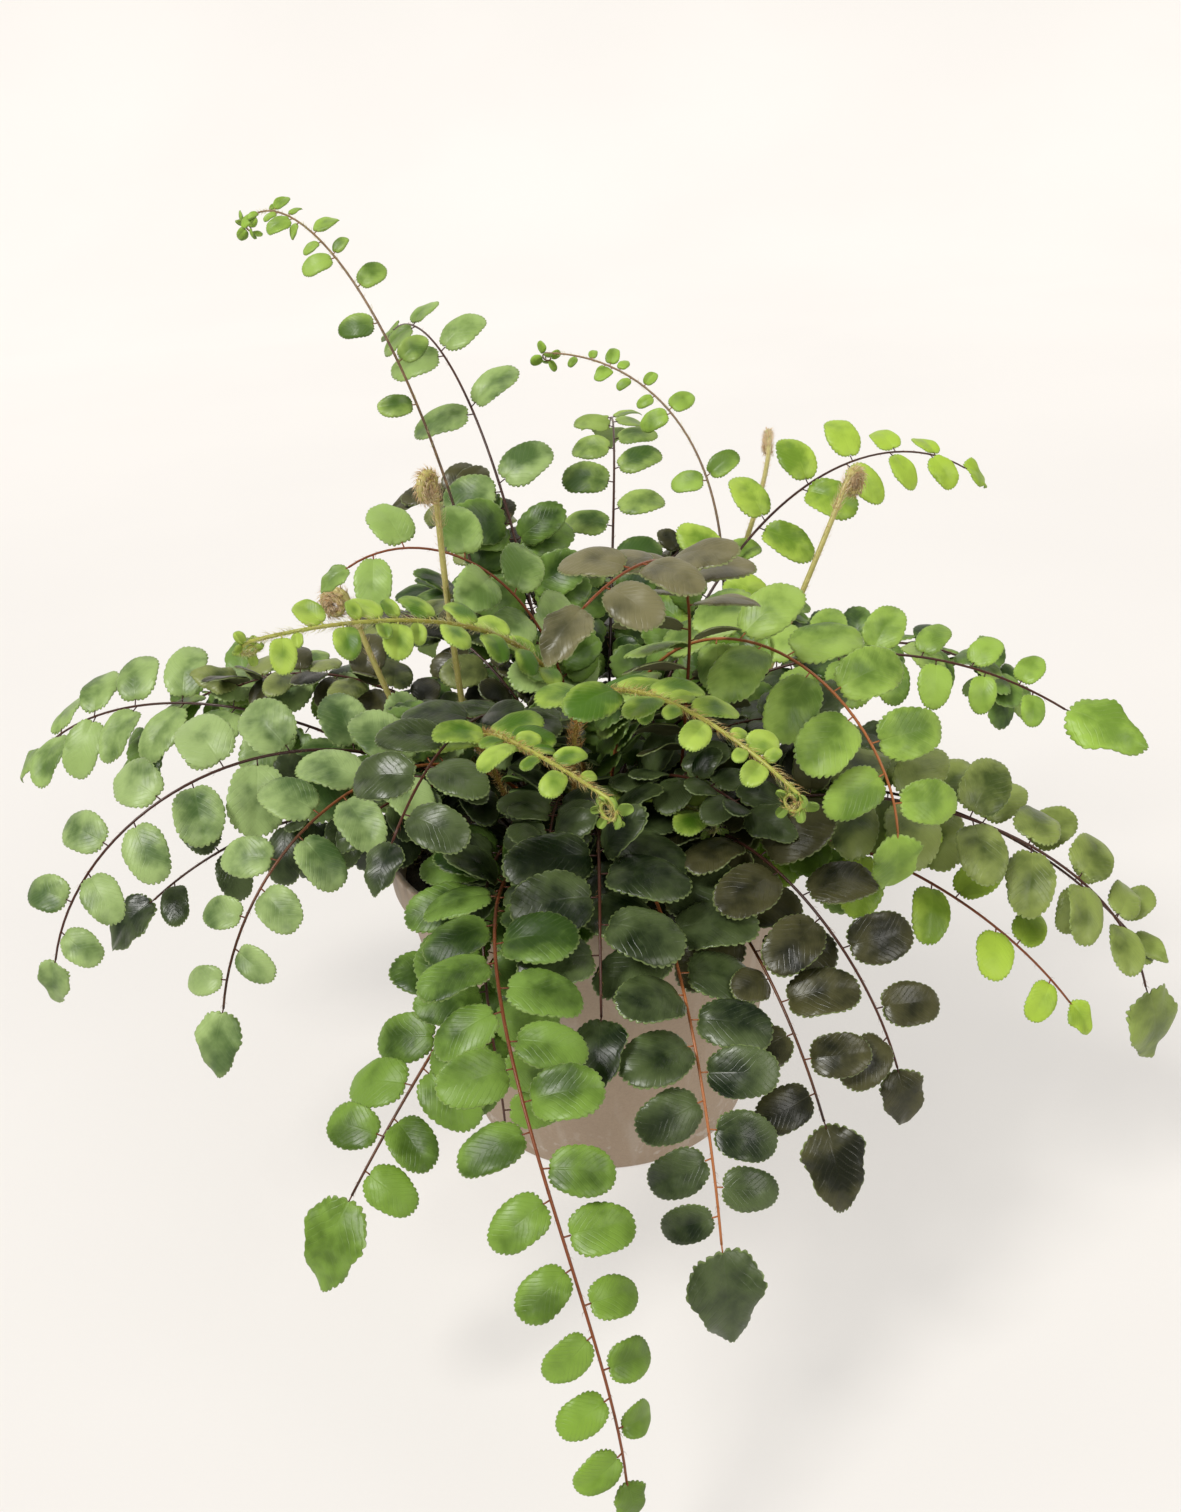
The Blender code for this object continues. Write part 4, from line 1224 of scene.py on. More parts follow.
def leaf_finish(name):
    """The finish of every leaflet of one tone."""
    tone = LEAF_TONES[name]
    finish, start = new_finish("leaf_" + name)
    along, across, rim = tag(start, "leaf_place")
    tint, age, lower = tag(start, "leaf_sort")
    veins = vein_lines(start, along, across)
    mottle = grain(start, 3.2, 2.0)
    cloud = grain(start, 10.0, 1.0)

    # The digits behind the tint's first ones serve as two more draws for each leaflet: lean picks the
    # side and end that get the painted sheen, tilt the depth of the crease
    lean = tint.maths("FRACT", tint * 7.31) - 0.5
    tilt = tint.maths("FRACT", tint * 3.77)

    # How light a spot is: by its leaflet and its mottle, plus painted light and shade: one side and one
    # end lighter than the other, and a lighter band near the rim
    shade = tint * 0.55 + (mottle * 0.7 + cloud * 1.1 - 0.9) * 0.9 + across * lean * 0.65
    shade = shade + rim * 0.34 + along * lean * 0.45 + 0.04
    shade = shade.band(0.14, 0.90)

    grown = shade.blend(tone.deep, tone.light)
    body = (age.band(0.0, 1.0) * (shade * 0.5 + 0.5)).blend(grown, tone.fresh)
    pale = (veins * VEIN_SHARE).blend(body, tone.light)
    # The thin rim is partly the leaflet's own pale margin and partly a painted highlight
    edge = (rim.band(0.95, 1.0) * RIM_SHARE).blend(pale, RIM_PALE_AND_HIGHLIGHT)
    below = (mottle * 0.5 + veins * 0.3).blend(tone.under, tone.light)
    colour = (lower * UNDER_SHARE).blend(edge, below)
    rough = mottle * 0.20 + cloud * 0.16 + lower * 0.25 + tone.rough - 0.16

    # A soft crease along the midrib tilts the two halves, more on some leaflets than on others
    crease = across.maths("SQRT", across * across + 0.02) * (tilt * 5.0)
    height = veins * -0.15 + mottle * 0.50 + cloud * 3.6 + crease
    surface(start, {"Base Color": colour, "Roughness": rough, "Specular IOR Level": LEAF_POLISH,
                    "Normal": bumps(start, height, LEAF_RELIEF)}, (tone.through, GLOW))
    return finish


LEAF_FINISHES = {tone: leaf_finish(tone) for tone in LEAF_TONES}
print("leaf finishes:", ", ".join(LEAF_FINISHES))

# %% [markdown]
# Leaflets that the imported frond has get the fine rings and the frond's own tone. The ones that
# only fill the crown get the plainer rings and a darker tone, which is painted shade for the depth of
# the crown, where the camera sees little of them. A young frond's last leaflet gives way to its coil
# of buds.

# %% Leaflets of every frond
draw = random.Random(LEAF_SEED)
total = 0
for stalk, blades in FRONDS_GROWN:
    tone = LEAF_TONE_OF.get(stalk.frond.name, stalk.frond.tone)
    leaves = LEAVES[stalk.frond.name]
    few = len(blades)
    if stalk.frond.name in CURLED:
        leaves = [blade for blade in leaves if blade.hand] + curl_buds(stalk, draw)
        few = len(leaves)
    # The second finish, for the leaflets that fill the crown, is darker: painted shade
    finishes = [LEAF_FINISHES[tone], LEAF_FINISHES[PAINTED_SHADE_TONE[tone]]]
    piece = add_leaflets(stalk, leaves, few, finishes, draw)
    total += len(piece.data.polygons)
print("leaflet triangles:", total)

# %% [markdown]
# ## Stalks
# The stalk of a button fern is a wiry, polished, dark red-brown stem, and its foot and shaded
# sides carry narrow orange-tan scales. A curve with a round bevel would give the stem, but the
# scales need to know where its surface is. So the stem and its leaflet threads are tubes made of
# rings of points, and the scales take their places from the same stalk.

# %% Tubes
def tube(line, radii, sides):
    """A closed round tube along a line: its points, its triangles and its shares from 0 to 1."""
    line = np.array(line)
    ahead = np.gradient(line, axis=0)
    ahead /= np.linalg.norm(ahead, axis=1)[:, None]
    lean = np.array((0.0, 0.0, 1.0)) if abs(ahead[0][2]) < 0.9 else np.array((1.0, 0.0, 0.0))
    points = []
    for spot, way, radius in zip(line, ahead, radii):
        lean = lean - way * lean.dot(way)
        lean /= np.linalg.norm(lean)
        other = np.cross(way, lean)
        for side in range(sides):
            turn = 2 * math.pi * side / sides
            points.append(spot + radius * (math.cos(turn) * lean + math.sin(turn) * other))
    faces = [(0, side + 1, side) for side in range(1, sides - 1)]
    last = sides * (len(line) - 1)
    faces += [(last, last + side, last + side + 1) for side in range(1, sides - 1)]
    for ring in range(len(line) - 1):
        for side in range(sides):
            a = ring * sides + side
            b = ring * sides + (side + 1) % sides
            faces += [(a, b, b + sides), (a, b + sides, a + sides)]
    shares = np.repeat(np.linspace(0, 1, len(line)), sides)
    return np.array(points), np.array(faces), shares


# %% Gather a piece
class Build:
    """Gathers points, triangles, stored numbers and finish numbers of one piece."""

    def __init__(self):
        self.points, self.faces, self.tags, self.which = [], [], [], []
        self.count = 0

    def take(self, points, faces, tags, which):
        """Adds a shape; which is the number of its finish."""
        self.points.append(points)
        self.faces.append(faces + self.count)
        self.tags.append(tags)
        self.which += [which] * len(faces)
        self.count += len(points)

    def tube(self, line, radii, sides, place=None):
        """A tube in the first finish; its share runs from 0 to 1 unless a place is given."""
        points, faces, shares = tube(line, radii, sides)
        tags = np.zeros((len(points), 3))
        tags[:, 0] = shares if place is None else place
        self.take(points, faces, tags, 0)

    def finish(self, name, finishes, node, slot_name):
        """Makes the piece from everything taken."""
        tags = {"stalk_place": np.concatenate(self.tags)}
        return add_piece(name, np.concatenate(self.points), np.concatenate(self.faces), finishes,
                         tags, node, slot_name, self.which)


# %% [markdown]
# A scale is a narrow pointed flake. It leaves the stalk at a slant towards the tip and then bends
# back a little. Each one is a small closed sliver of ten triangles, wide enough to stay visible
# and far lighter than a tube. Hairs and wool are the same sliver, set closer. Each coat below says
# how many slivers it has or how many for each millimetre, their length and half width in
# millimetres, and the part of the stalk that they cover.

# %% Scales and hairs
Coat = namedtuple("Coat", "length half count per_mm low high crowding shade",
                  defaults=(0, 0.0, 0.0, 1.0, 1.0, 1.0))

HAIRS = Coat(length=2.1, half=0.09, per_mm=6.0, crowding=0.7)
TIP_HAIRS = Coat(length=1.5, half=0.09, count=170)
WOOL = Coat(length=3.2, half=0.12, count=190, shade=0.2)
THIN_HAIRS = Coat(length=1.3, half=0.08, per_mm=1.2, low=0.3, crowding=0.6)
FOOT_SCALES = Coat(length=2.1, half=0.12, count=46, high=0.35, crowding=1.6)
LOOSE_SCALES = Coat(length=1.1, half=0.08, per_mm=0.35, low=0.2)
SLIVER_TURNS = (0.0, 2.09, 4.19)
# Share of its length and of its width at each of its two rings
SLIVER_RINGS = ((0.0, 1.0), (0.5, 0.8))
SLIVER_BEND = 0.6
SLIVER_FLAT = 0.6
SLIVER_TIP = (0.86, 0.75)
SLIVER_ROOT = 0.8
SLANTS = (0.2, 1.0)
SLIVER_LENGTHS = (0.5, 1.15)
SLIVER_WIDTHS = (0.7, 1.2)
SLIVER_FACES = np.array([(0, 2, 1), (0, 1, 4), (0, 4, 3), (1, 2, 5), (1, 5, 4), (2, 0, 3), (2, 3, 5),
                         (3, 4, 6), (4, 5, 6), (5, 3, 6)])


def sliver(foot, out, ahead, length, half):
    """Points of one scale, from a foot, a direction away from the stalk and one along it."""
    side = out.cross(ahead)
    rings = []
    for share, width in SLIVER_RINGS:
        middle = foot + length * (share * out + SLIVER_BEND * share * share * ahead)
        rings += [middle + half * width * (math.cos(turn) * side + SLIVER_FLAT * math.sin(turn) * ahead)
                  for turn in SLIVER_TURNS]
    tip = foot + length * (SLIVER_TIP[0] * out + SLIVER_TIP[1] * ahead)
    return np.array([*rings, tip])


def add_slivers(build, place_at, coat, stalk, draw):
    """A coat of slivers all round a stalk; place_at gives its middle, directions and radius."""
    count = coat.count or int(stalk.length / MM * coat.per_mm)
    for index in range(count):
        share = coat.low + (coat.high - coat.low) * draw.random() ** coat.crowding
        point, along, side, up, radius = place_at(share)
        turn = draw.uniform(0, 2 * math.pi)
        out = math.cos(turn) * side + math.sin(turn) * up
        slant = draw.uniform(*SLANTS)
        lean = (out + slant * along).normalized()
        reach = coat.length * MM * draw.uniform(*SLIVER_LENGTHS)
        half = coat.half * MM * draw.uniform(*SLIVER_WIDTHS)
        points = sliver(point + out * radius * SLIVER_ROOT, lean, along, reach, half)
        tags = np.tile((share, coat.shade * draw.random(), 0.0), (len(points), 1))
        build.take(points, SLIVER_FACES, tags, 1)


def coil_places(turned, side, radii):
    """A function like a stalk's, that gives a coil's middle, directions and radius at a share."""
    last = len(turned) - 1

    def place_at(share):
        """The middle of the coil at a share, the ways along, sideways and up, and the radius."""
        index = min(int(share * len(turned)), last)
        ahead = (turned[min(index + 1, last)] - turned[max(index - 1, 0)]).normalized()
        return turned[index], ahead, side, ahead.cross(side), radii[index]

    return place_at


# %% [markdown]
# ### The finish of a stalk
# Old stalks are nearly black at the foot and redder towards the tip, some are orange-brown, and
# young ones are yellow green or straw. All are the same polished stem, so one rule makes them
# from two colours, with fine streaks and a soft gloss. Scales, hairs and wool are thin enough to
# let light through.

# %% Stalk tones
STALK_TONES = {
    # tone: colour at the foot and at the tip
    "black": ((0.016, 0.006, 0.004), (0.070, 0.022, 0.012)),
    "red": ((0.085, 0.022, 0.008), (0.230, 0.062, 0.018)),
    "orange": ((0.200, 0.060, 0.016), (0.400, 0.140, 0.045)),
    "burnt": ((0.420, 0.135, 0.035), (0.020, 0.008, 0.005)),
    "green": ((0.260, 0.110, 0.030), (0.440, 0.520, 0.100)),
    "young": ((0.260, 0.230, 0.050), (0.440, 0.520, 0.110)),
    "straw": ((0.360, 0.330, 0.085), (0.600, 0.520, 0.200)),
    "tanned": ((0.016, 0.006, 0.004), (0.340, 0.200, 0.090)),
}
STALK_OF = {
    "frond_front_right": "burnt", "frond_front_left": "burnt", "frond_left_front": "burnt",
    "frond_front_drop": "orange", "frond_right_arch": "orange", "frond_over_top": "red",
    "frond_front_long": "red", "frond_right_front": "red", "frond_upper_left": "red",
    "frond_young_middle": "green", "frond_young_curl": "green", "frond_young_left": "green",
    "frond_young_right": "young", "frond_tall_left": "tanned", "frond_back_thin": "tanned",
}
print(len(STALK_TONES), "stalk tones,", len(STALK_OF), "fronds with one that isn't black")

# %% Stalk finish
STALK_POLISH = 0.35
SLIVER_CLEAR = 0.25


def stalk_finish(tone):
    """A polished stem that changes from one colour to another towards its tip."""
    foot, tip = STALK_TONES[tone]
    finish, start = new_finish("stalk_" + tone)
    share = tag(start, "stalk_place")[0]
    streak = grain(start, 1.6, 4.0)
    blotch = grain(start, 12)
    colour = (share * 0.8 + blotch * 0.5 - 0.2).band(0.0, 1.0).blend(foot, tip)
    colour = (streak.band(0.45, 0.75) * 0.4).blend(colour, tip)
    surface(start, {"Base Color": colour, "Roughness": streak * 0.25 + 0.22,
                    "Specular IOR Level": STALK_POLISH, "Normal": bumps(start, streak, 0.1)})
    return finish


def sliver_finish(name, dark, light):
    """Scales, hairs or wool, each sliver somewhere between two colours."""
    finish, start = new_finish(name)
    own = tag(start, "stalk_place")[1]
    fleck = grain(start, 0.9)
    colour = (own * 0.7 + fleck * 0.5).band(0.1, 1.0).blend(dark, light)
    surface(start, {"Base Color": colour, "Roughness": fleck * 0.2 + 0.55}, (SLIVER_CLEAR, light))
    return finish


STALK_FINISHES = {tone: stalk_finish(tone) for tone in STALK_TONES}
SCALE_FINISH = sliver_finish("scale_tan", (0.16, 0.055, 0.020), (0.52, 0.27, 0.10))
HAIR_FINISH = sliver_finish("hair_straw", (0.62, 0.50, 0.20), (0.90, 0.90, 0.52))
TUFT_FINISH = sliver_finish("tuft_straw", (0.74, 0.46, 0.22), (0.98, 0.84, 0.58))
WOOL_FINISH = sliver_finish("wool_orange", (0.66, 0.30, 0.09), (0.90, 0.84, 0.40))
print("stalk finishes:", ", ".join(STALK_FINISHES))

# %% [markdown]
# Each stalk is one piece with two finishes: the stem and its leaflet threads have the first, and
# its scales, hairs or wool the second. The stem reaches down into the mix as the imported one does,
# and it is slimmer, because a packed stalk has to be thick enough for a sound solid.

# %% Build the stalks
STALK_SIDES = 8
STALK_SLIM = 0.62
HAIRY_SLIM = 0.95
STALK_SUNK = 0.6 * ROOT_DEPTH
TIP_THIN = 0.40
THREAD_SIDES = 5
THREAD_HALF = 0.20 * MM
THREAD_LAP = 0.05
# Fronds with a tuft of wool, and the part of the stalk under it
WOOLLY = {"frond_young_curl": (0.40, 0.62), "frond_young_middle": (0.30, 0.48)}
WOOL_REST = (0.0, 0.2)
STALK_SEED = 57


def stalk_piece(stalk, blades, draw):
    """The stem of one frond with its leaflet threads and its scales."""
    frond = stalk.frond
    build = Build()
    shares = [stalk.end * index / ARC_STEPS for index in range(ARC_STEPS + 1)]
    line = [stalk.line[0] - Vector((0, 0, STALK_SUNK)), *(stalk.at(share)[0] for share in shares)]
    slim = HAIRY_SLIM if frond.name in HAIRY else STALK_SLIM
    radii = [stalk.half_width(share) * slim for share in [0.0, *shares]]
    if frond.name in CURLED:
        turned = young_coil(stalk)[0]
        coil_radii = [radii[-1] * (1 - TIP_THIN * index / CURL_STEPS) for index in range(CURL_STEPS)]
        line += turned
        radii += coil_radii
    build.tube(line, radii, STALK_SIDES)
    for blade in blades:
        start = stalk.at(blade.share)[0]
        end = blade.spot(STALKLET_SHARE + THREAD_LAP, 0.0)
        build.tube([start, start.lerp(end, 0.5), end], [THREAD_HALF] * 3, THREAD_SIDES, blade.share)

    def place_at(share):
        """A place on the stem, from 0 at the soil to 1 at its end."""
        share *= stalk.end
        return (*stalk.at(share), stalk.half_width(share) * slim)

    if frond.name in HAIRY:
        on_coil = coil_places(turned, stalk.at(stalk.end)[2], coil_radii)
        low, high = WOOLLY.get(frond.name, WOOL_REST)
        add_slivers(build, place_at, HAIRS, stalk, draw)
        add_slivers(build, on_coil, TIP_HAIRS, stalk, draw)
        add_slivers(build, place_at, WOOL._replace(low=low, high=high), stalk, draw)
    elif frond.name in YOUNG:
        add_slivers(build, place_at, THIN_HAIRS, stalk, draw)
    else:
        add_slivers(build, place_at, FOOT_SCALES, stalk, draw)
        add_slivers(build, place_at, LOOSE_SCALES, stalk, draw)
    coat = HAIR_FINISH if frond.name in YOUNG else SCALE_FINISH
    coat = WOOL_FINISH if frond.name in WOOLLY else coat
    finishes = [STALK_FINISHES[STALK_OF.get(frond.name, "black")], coat]
    return build.finish(frond.name.replace("frond", "stalk"), finishes, frond.name, "leaf_" + frond.tone)


draw = random.Random(STALK_SEED)
total = 0
for stalk, blades in FRONDS_GROWN:
    piece = stalk_piece(stalk, LEAVES[stalk.frond.name], draw)
    total += len(piece.data.polygons)
print("stalk triangles:", total)

# %% [markdown]
# ## Young fronds that are still rolled up
# A young frond stands up as a straw-coloured, downy stem with its end coiled into a crozier. The
# coil is thicker than the stem and hidden under a felt of straw-coloured hairs.

# %% Build the croziers
CROZIER_SIDES = 10
COIL_TURNS = 1.55
COIL_STEPS = 26
COIL_SHRINK = 0.74
COIL_RADIUS = 1.12
COIL_TAPER = 0.55
STEM_RADIUS = 0.80
STEM_TAPER = 0.10
DOWN_RADIUS = 0.74
STEM_DOWN = Coat(length=1.5, half=0.07, per_mm=4.5)
NECK_DOWN = Coat(length=2.4, half=0.09, count=160, low=0.90)
COIL_FELT = Coat(length=2.2, half=0.13, count=760)


def crozier_piece(stalk, draw):
    """A stem with its coiled end, its down and its felt."""
    build = Build()
    turned = coil(stalk.at(1.0), HOOK_RADIUS, COIL_TURNS, COIL_STEPS, COIL_SHRINK)[0]
    coil_radii = [CROZIER_RADIUS * (COIL_RADIUS - COIL_TAPER * index / COIL_STEPS)
                  for index in range(COIL_STEPS)]
    line = [stalk.line[0] - Vector((0, 0, STALK_SUNK)), *stalk.line[::2], *turned]
    stem = len(line) - len(turned)
    radii = [CROZIER_RADIUS * (STEM_RADIUS - STEM_TAPER * index / stem) for index in range(stem)]
    build.tube(line, radii + coil_radii, CROZIER_SIDES)
    on_coil = coil_places(turned, stalk.at(1.0)[2], coil_radii)

    def on_stem(share):
        """A place on the stem, from 0 at the soil to 1 at the coil."""
        return (*stalk.at(share), CROZIER_RADIUS * DOWN_RADIUS)

    add_slivers(build, on_stem, STEM_DOWN, stalk, draw)
    add_slivers(build, on_stem, NECK_DOWN, stalk, draw)
    add_slivers(build, on_coil, COIL_FELT, stalk, draw)
    finishes = [STALK_FINISHES["straw"], TUFT_FINISH]
    return build.finish(stalk.frond.name + "_woolly", finishes, stalk.frond.name, "leaf_hairy")


for stalk in CROZIERS_GROWN:
    piece = crozier_piece(stalk, draw)
    print(piece.name, len(piece.data.polygons), "triangles")

# %% [markdown]
# ## The pot
# The pot is a thin, matte, taupe nursery pot: a collar at the rim, a wall that tapers to the foot
# and five drain holes. It is turned from its profile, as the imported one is, with rounded corners
# and many more steps, and the drain holes are cut out with a Boolean.

# %% Turned bodies
FINE_STEPS = 128
ON_AXIS = 1e-6


def arc(middle, radius, first, last, steps):
    """Points of a rounded corner in a profile, with angles in degrees."""
    return [(middle[0] + radius * math.cos(math.radians(first + (last - first) * step / steps)),
             middle[1] + radius * math.sin(math.radians(first + (last - first) * step / steps)))
            for step in range(steps + 1)]


def turned_mesh(name, profile):
    """A closed mesh of revolution from a profile that starts and ends on the axis or is a loop."""
    shape = bmesh.new()
    rings = []
    for radius, height in profile:
        if radius < ON_AXIS:
            rings.append([shape.verts.new((0.0, 0.0, height))] * FINE_STEPS)
        else:
            turns = [2 * math.pi * step / FINE_STEPS for step in range(FINE_STEPS)]
            rings.append([shape.verts.new((radius * math.cos(turn), radius * math.sin(turn), height))
                          for turn in turns])
    pairs = list(zip(rings, rings[1:]))
    if profile[0][0] > ON_AXIS:
        pairs.append((rings[-1], rings[0]))
    for upper, lower in pairs:
        for step in range(FINE_STEPS):
            after = (step + 1) % FINE_STEPS
            corners = list(dict.fromkeys((upper[step], upper[after], lower[after], lower[step])))
            if len(corners) > 2:
                shape.faces.new(corners)
    bmesh.ops.recalc_face_normals(shape, faces=shape.faces)
    mesh = bpy.data.meshes.new(name)
    shape.to_mesh(mesh)
    shape.free()
    return mesh


# %% Pot profile
LIP_ROUND = 0.8 * MM
COLLAR_ROUND = 0.5 * MM
FOOT_ROUND = 1.3 * MM
FOOT_FLARE = 1.2 * MM
FOOT_INSET = 0.2 * MM
FLOOR_RING = 0.6 * POT_FOOT_RADIUS
SHOULDER_RISE = 3 * MM
LIP_THINNING = 0.1 * MM
LIP_DROP = 0.4 * MM

collar_foot = POT_HEIGHT - COLLAR_HEIGHT
lip = POT_RIM_RADIUS - LIP_ROUND
shoulder = lip - COLLAR_STEP
wall_foot = POT_FOOT_RADIUS + FOOT_FLARE


def inner_radius(height):
    """Inside radius of the pot's wall at a height."""
    share = (height - POT_WALL) / (collar_foot - POT_WALL)
    return wall_foot - POT_WALL + (shoulder - wall_foot) * share


profile = [
    *arc((lip, POT_HEIGHT - LIP_ROUND), LIP_ROUND, 110, 0, 6),
    *arc((lip - COLLAR_ROUND, collar_foot + COLLAR_ROUND), COLLAR_ROUND, 0, -90, 4),
    *arc((shoulder + COLLAR_ROUND, collar_foot - 2 * COLLAR_ROUND), COLLAR_ROUND, 90, 180, 4),
    (0.5 * (shoulder + wall_foot), 0.5 * collar_foot),
    *arc((POT_FOOT_RADIUS - FOOT_INSET, FOOT_ROUND), FOOT_ROUND, -4, -90, 6),
    (FLOOR_RING, 0.0),
    (0.0, 0.0),
    (0.0, POT_WALL),
    (FLOOR_RING, POT_WALL),
    (inner_radius(POT_WALL), POT_WALL),
    (inner_radius(0.5 * collar_foot), 0.5 * collar_foot),
    (inner_radius(collar_foot), collar_foot),
    (lip - POT_WALL, collar_foot + SHOULDER_RISE),
    (POT_RIM_RADIUS - POT_WALL - LIP_THINNING, POT_HEIGHT - LIP_DROP),
]
shell = bpy.data.objects.new("pot_shell", turned_mesh("pot_shell", profile))
bpy.context.scene.collection.objects.link(shell)
print("pot profile of", len(profile), "points")

# %% Drain holes
DRAIN_SIDES = 32
DRAIN_START = 0.25
POT_CREASE_ANGLE = 35

drill = bmesh.new()
for index in range(DRAIN_COUNT):
    turn = 2 * math.pi * (index + DRAIN_START) / DRAIN_COUNT
    middle = (DRAIN_CIRCLE * math.cos(turn), DRAIN_CIRCLE * math.sin(turn), 0.5 * POT_WALL)
    bmesh.ops.create_cone(drill, cap_ends=True, segments=DRAIN_SIDES, radius1=DRAIN_RADIUS,
                          radius2=DRAIN_RADIUS, depth=4 * POT_WALL, matrix=Matrix.Translation(middle))
drill_mesh = bpy.data.meshes.new("drain_drill")
drill.to_mesh(drill_mesh)
drill.free()
drill_object = bpy.data.objects.new("drain_drill", drill_mesh)
bpy.context.scene.collection.objects.link(drill_object)
holes = shell.modifiers.new("Drain holes", "BOOLEAN")
holes.operation = "DIFFERENCE"
holes.solver = "EXACT"
holes.object = drill_object
evaluated = shell.evaluated_get(bpy.context.evaluated_depsgraph_get())
shell.data = bpy.data.meshes.new_from_object(evaluated)
shell.modifiers.clear()
bpy.data.objects.remove(drill_object)
shell.data.shade_smooth()
shell.data.set_sharp_from_angle(angle=math.radians(POT_CREASE_ANGLE))
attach(shell, "root")
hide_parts("pot")
print("pot shell", len(shell.data.polygons), "faces")

# %% [markdown]
# Moulded plastic shows a faint grain, some dust, scuffs near its foot where pots rub against each
# other, and a brown film where wet peat touched the rim.

# %% Pot finish
POT_COLOUR = (0.310, 0.228, 0.160)
POT_LIGHT = (0.395, 0.298, 0.212)
POT_DUST = (0.56, 0.50, 0.44)
POT_STAIN = (0.13, 0.085, 0.055)
STREAK_STRETCH = (1.0, 1.0, 0.12)
# Heights between which the scuffs at the foot fade, and how deep the film at the rim reaches
SCUFF_FADE = (4 * MM, 22 * MM)
FILM_DEPTH = 9 * MM

finish, start = new_finish("pot_plastic_taupe")
place = start.add("ShaderNodeTexCoord", result=3)
height = start.add("ShaderNodeSeparateXYZ", {}, {0: place}, 2)
stretched = start.add("ShaderNodeVectorMath", {"operation": "MULTIPLY"}, {0: place, 1: STREAK_STRETCH})
streaks = grain(start, 6.0, 4.0, stretched)
clouds = grain(start, 30)
specks = grain(start, 0.7, 2.0)
scuffs = grain(start, 3.5, 6.0).band(0.56, 0.66)
colour = (clouds * 0.6 + specks * 0.5).band(0.25, 0.85).blend(POT_COLOUR, POT_LIGHT)
colour = (streaks.band(0.5, 0.75) * 0.25).blend(colour, POT_DUST)
foot = height.band(*SCUFF_FADE, 1.0, 0.0)
rim = height.band(POT_HEIGHT - FILM_DEPTH, POT_HEIGHT)
colour = (scuffs * (foot * 0.5 + rim * 0.3)).blend(colour, POT_DUST)
colour = (rim * streaks.band(0.42, 0.62) * 0.5).blend(colour, POT_STAIN)
roughness = specks * 0.15 + streaks * 0.12 + 0.44
relief = specks * 0.6 + clouds * 0.4 - scuffs * (foot + rim) * 0.5
surface(start, {"Base Color": colour, "Roughness": roughness, "Normal": bumps(start, relief, 0.12)})
shell.data.materials.clear()
shell.data.materials.append(finish)
print("finish", finish.name)

# %% [markdown]
# ## The potting mix
# Peat mix is dark, matte and crumbly, with bits of fibre. Its body is turned like the pot, its
# top is pushed up and down by noise, and loose crumbs and fibres lie on it. All of them are one
# piece, and the number stored with each crumb makes it a little lighter or darker.

# %% Body of the mix
MIX_RINGS = 26
MIX_EDGE_SINK = 0.6 * MM
MIX_EDGE_DEPTH = 1 * MM
MIX_SKIN = 0.5 * MM
# Lumps for each metre, and how much each size of lump counts
LUMPS = ((90, 0.6), (400, 0.5), (900, 0.3))

floor = POT_WALL + SEAT_GAP
edge = inner_radius(MIX_TOP - MIX_EDGE_DEPTH) - SEAT_GAP
rings = [(edge * index / MIX_RINGS, MIX_TOP) for index in range(MIX_RINGS + 1)]
mix_mesh = turned_mesh("mix_body", [*rings, (inner_radius(floor) - SEAT_GAP, floor), (0.0, floor)])
for vertex in mix_mesh.vertices:
    spot = vertex.co
    if spot.z > MIX_TOP - MIX_SKIN:
        lump = sum(share * noise.noise(spot * rate) for rate, share in LUMPS)
        spot.z += MIX_BUMP * lump - MIX_EDGE_SINK * (math.hypot(spot.x, spot.y) / edge) ** 4
mix_mesh.calc_loop_triangles()
spots = np.array([vertex.co for vertex in mix_mesh.vertices])
triangles = np.array([list(triangle.vertices) for triangle in mix_mesh.loop_triangles])
build = Build()
build.take(spots, triangles, np.zeros((len(spots), 3)), 0)
print("mix body of", len(triangles), "triangles")

# %% Crumbs and fibres
MIX_SEED = 71
CRUMBS = 420
CRUMB_MARGIN = 1.5 * MM
CRUMB_SUNK = 0.2
CRUMB_PUSH = 0.45
CRUMB_LUMPS = 1.6
NOISE_SPAN = 9
FIBRES = 90
FIBRE_MARGIN = 6 * MM
FIBRE_LENGTHS = (2, 6)
FIBRE_PARTS = (0.0, 0.33, 0.66, 1.0)
FIBRE_BEND = 0.5
FIBRE_LIFT = 0.5 * MM
FIBRE_WAVE = 3
FIBRE_SIDES = 5
FIBRE_RADII = (0.12 * MM, 0.2 * MM, 0.18 * MM, 0.08 * MM)
FIBRE_SHADE = 0.9

grit = bmesh.new()
bmesh.ops.create_icosphere(grit, subdivisions=2, radius=1.0)
GRIT_POINTS = [vertex.co.copy() for vertex in grit.verts]
GRIT_FACES = np.array([[vertex.index for vertex in face.verts] for face in grit.faces])
grit.free()


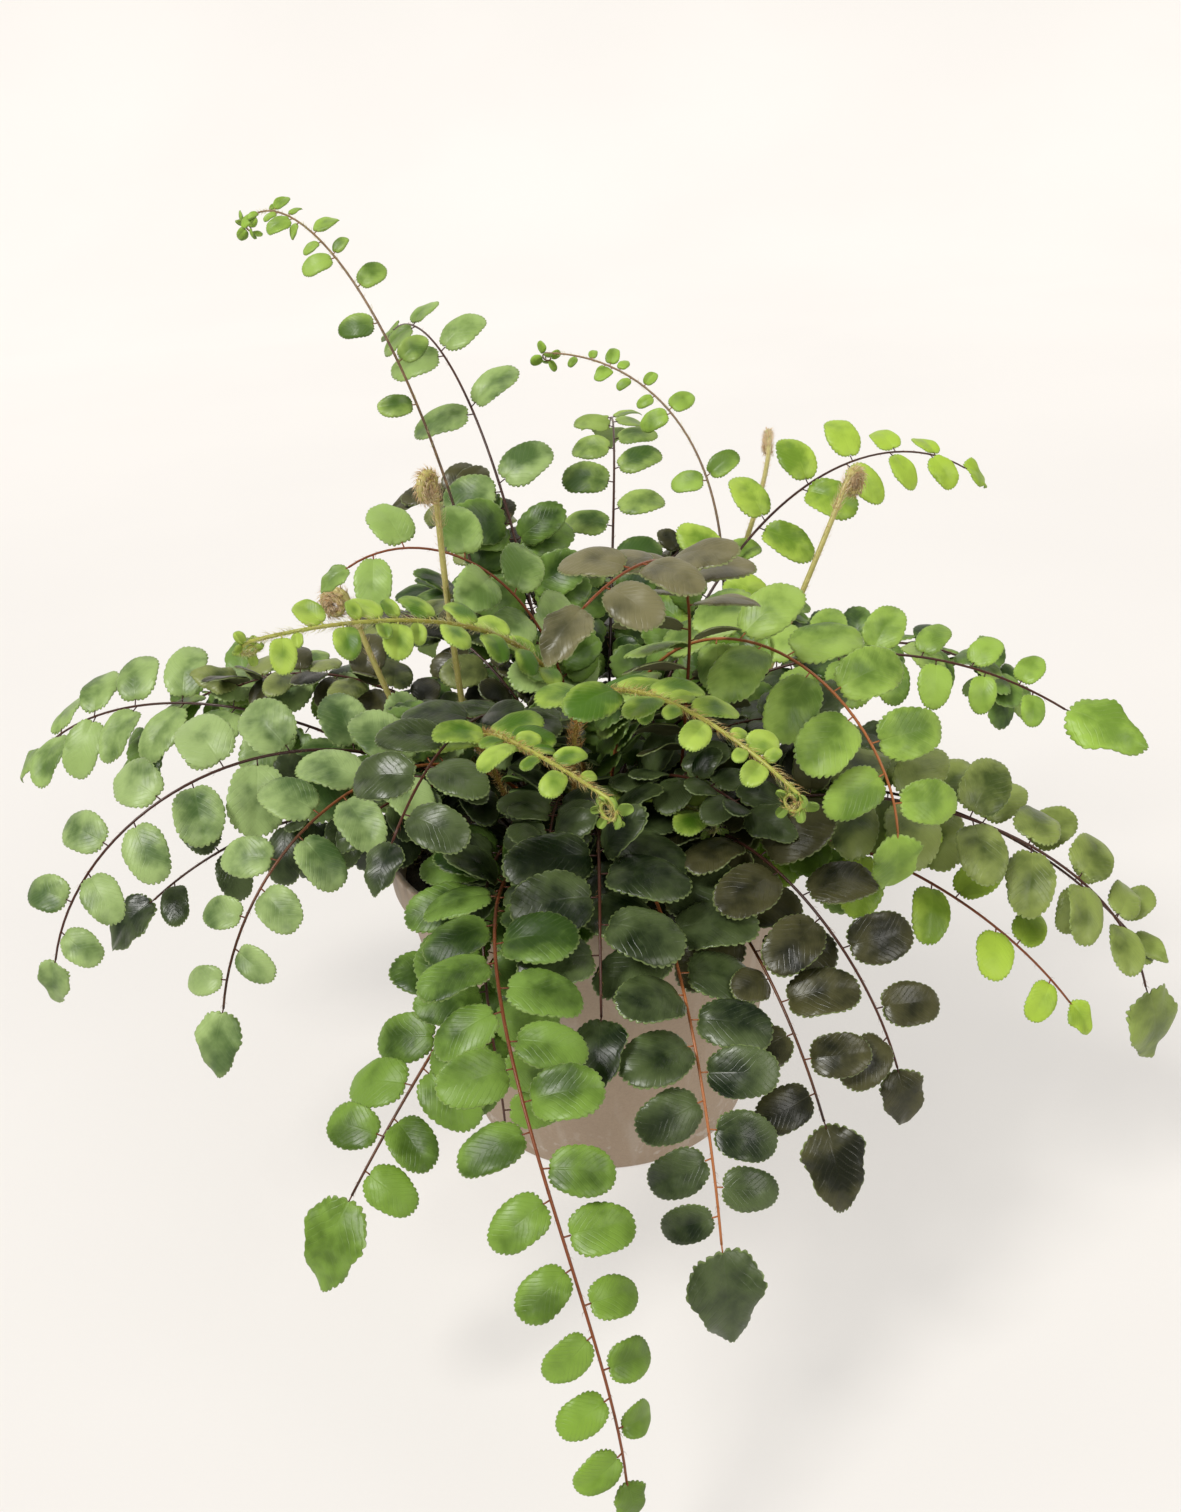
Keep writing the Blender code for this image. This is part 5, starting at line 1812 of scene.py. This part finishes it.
def crumb(draw):
    """Points of one crumb: a ball that is stretched and pushed in and out by noise."""
    radius = (edge - CRUMB_MARGIN) * math.sqrt(draw.random())
    turn = draw.uniform(0, 2 * math.pi)
    size = draw.uniform(0.4, 1.0) * draw.uniform(0.6, 2.0) * MM
    middle = Vector((radius * math.cos(turn), radius * math.sin(turn), MIX_TOP + CRUMB_SUNK * size))
    stretch = Vector((draw.uniform(0.7, 1.4), draw.uniform(0.7, 1.4), draw.uniform(0.5, 0.9))) * size
    shift = Vector([draw.uniform(0, NOISE_SPAN) for axis in range(3)])
    push = [1 + CRUMB_PUSH * noise.noise(point * CRUMB_LUMPS + shift) for point in GRIT_POINTS]
    return np.array([middle + stretch * share * point for share, point in zip(push, GRIT_POINTS)])


def fibre(draw):
    """The line of one bent fibre that lies on the mix."""
    radius = (edge - FIBRE_MARGIN) * math.sqrt(draw.random())
    turn = draw.uniform(0, 2 * math.pi)
    way = draw.uniform(0, 2 * math.pi)
    reach = draw.uniform(*FIBRE_LENGTHS) * MM
    foot = Vector((radius * math.cos(turn), radius * math.sin(turn), MIX_TOP + FIBRE_LIFT))
    line = []
    for part in FIBRE_PARTS:
        bend = way + FIBRE_BEND * part
        line.append(foot + Vector((math.cos(bend) * reach * part, math.sin(bend) * reach * part,
                                   FIBRE_LIFT * math.sin(FIBRE_WAVE * part))))
    return line


draw = random.Random(MIX_SEED)
for index in range(CRUMBS):
    points = crumb(draw)
    build.take(points, GRIT_FACES, np.full((len(points), 3), draw.random()), 0)
for index in range(FIBRES):
    build.tube(fibre(draw), FIBRE_RADII, FIBRE_SIDES, FIBRE_SHADE)
print(CRUMBS, "crumbs and", FIBRES, "fibres")

# %% Finish of the mix
PEAT_DARK = (0.012, 0.007, 0.005)
PEAT_BROWN = (0.075, 0.042, 0.026)
FIBRE_TAN = (0.16, 0.09, 0.045)

finish, start = new_finish("peat_mix_dark")
shade = tag(start, "stalk_place")[0]
clods = grain(start, 5.0, 6.0)
fine = grain(start, 0.9, 4.0)
colour = (clods * 0.7 + fine * 0.5 + shade * 0.35).band(0.35, 1.15).blend(PEAT_DARK, PEAT_BROWN)
colour = (shade.band(0.86, FIBRE_SHADE) * 0.5).blend(colour, FIBRE_TAN)
surface(start, {"Base Color": colour, "Roughness": fine * 0.2 + 0.78,
                "Normal": bumps(start, clods * 0.6 + fine * 0.6, 0.6)})
piece = build.finish("potting_mix_crumbly", [finish], "potting_mix", "peat_mix")
print(piece.name, len(piece.data.polygons), "triangles")
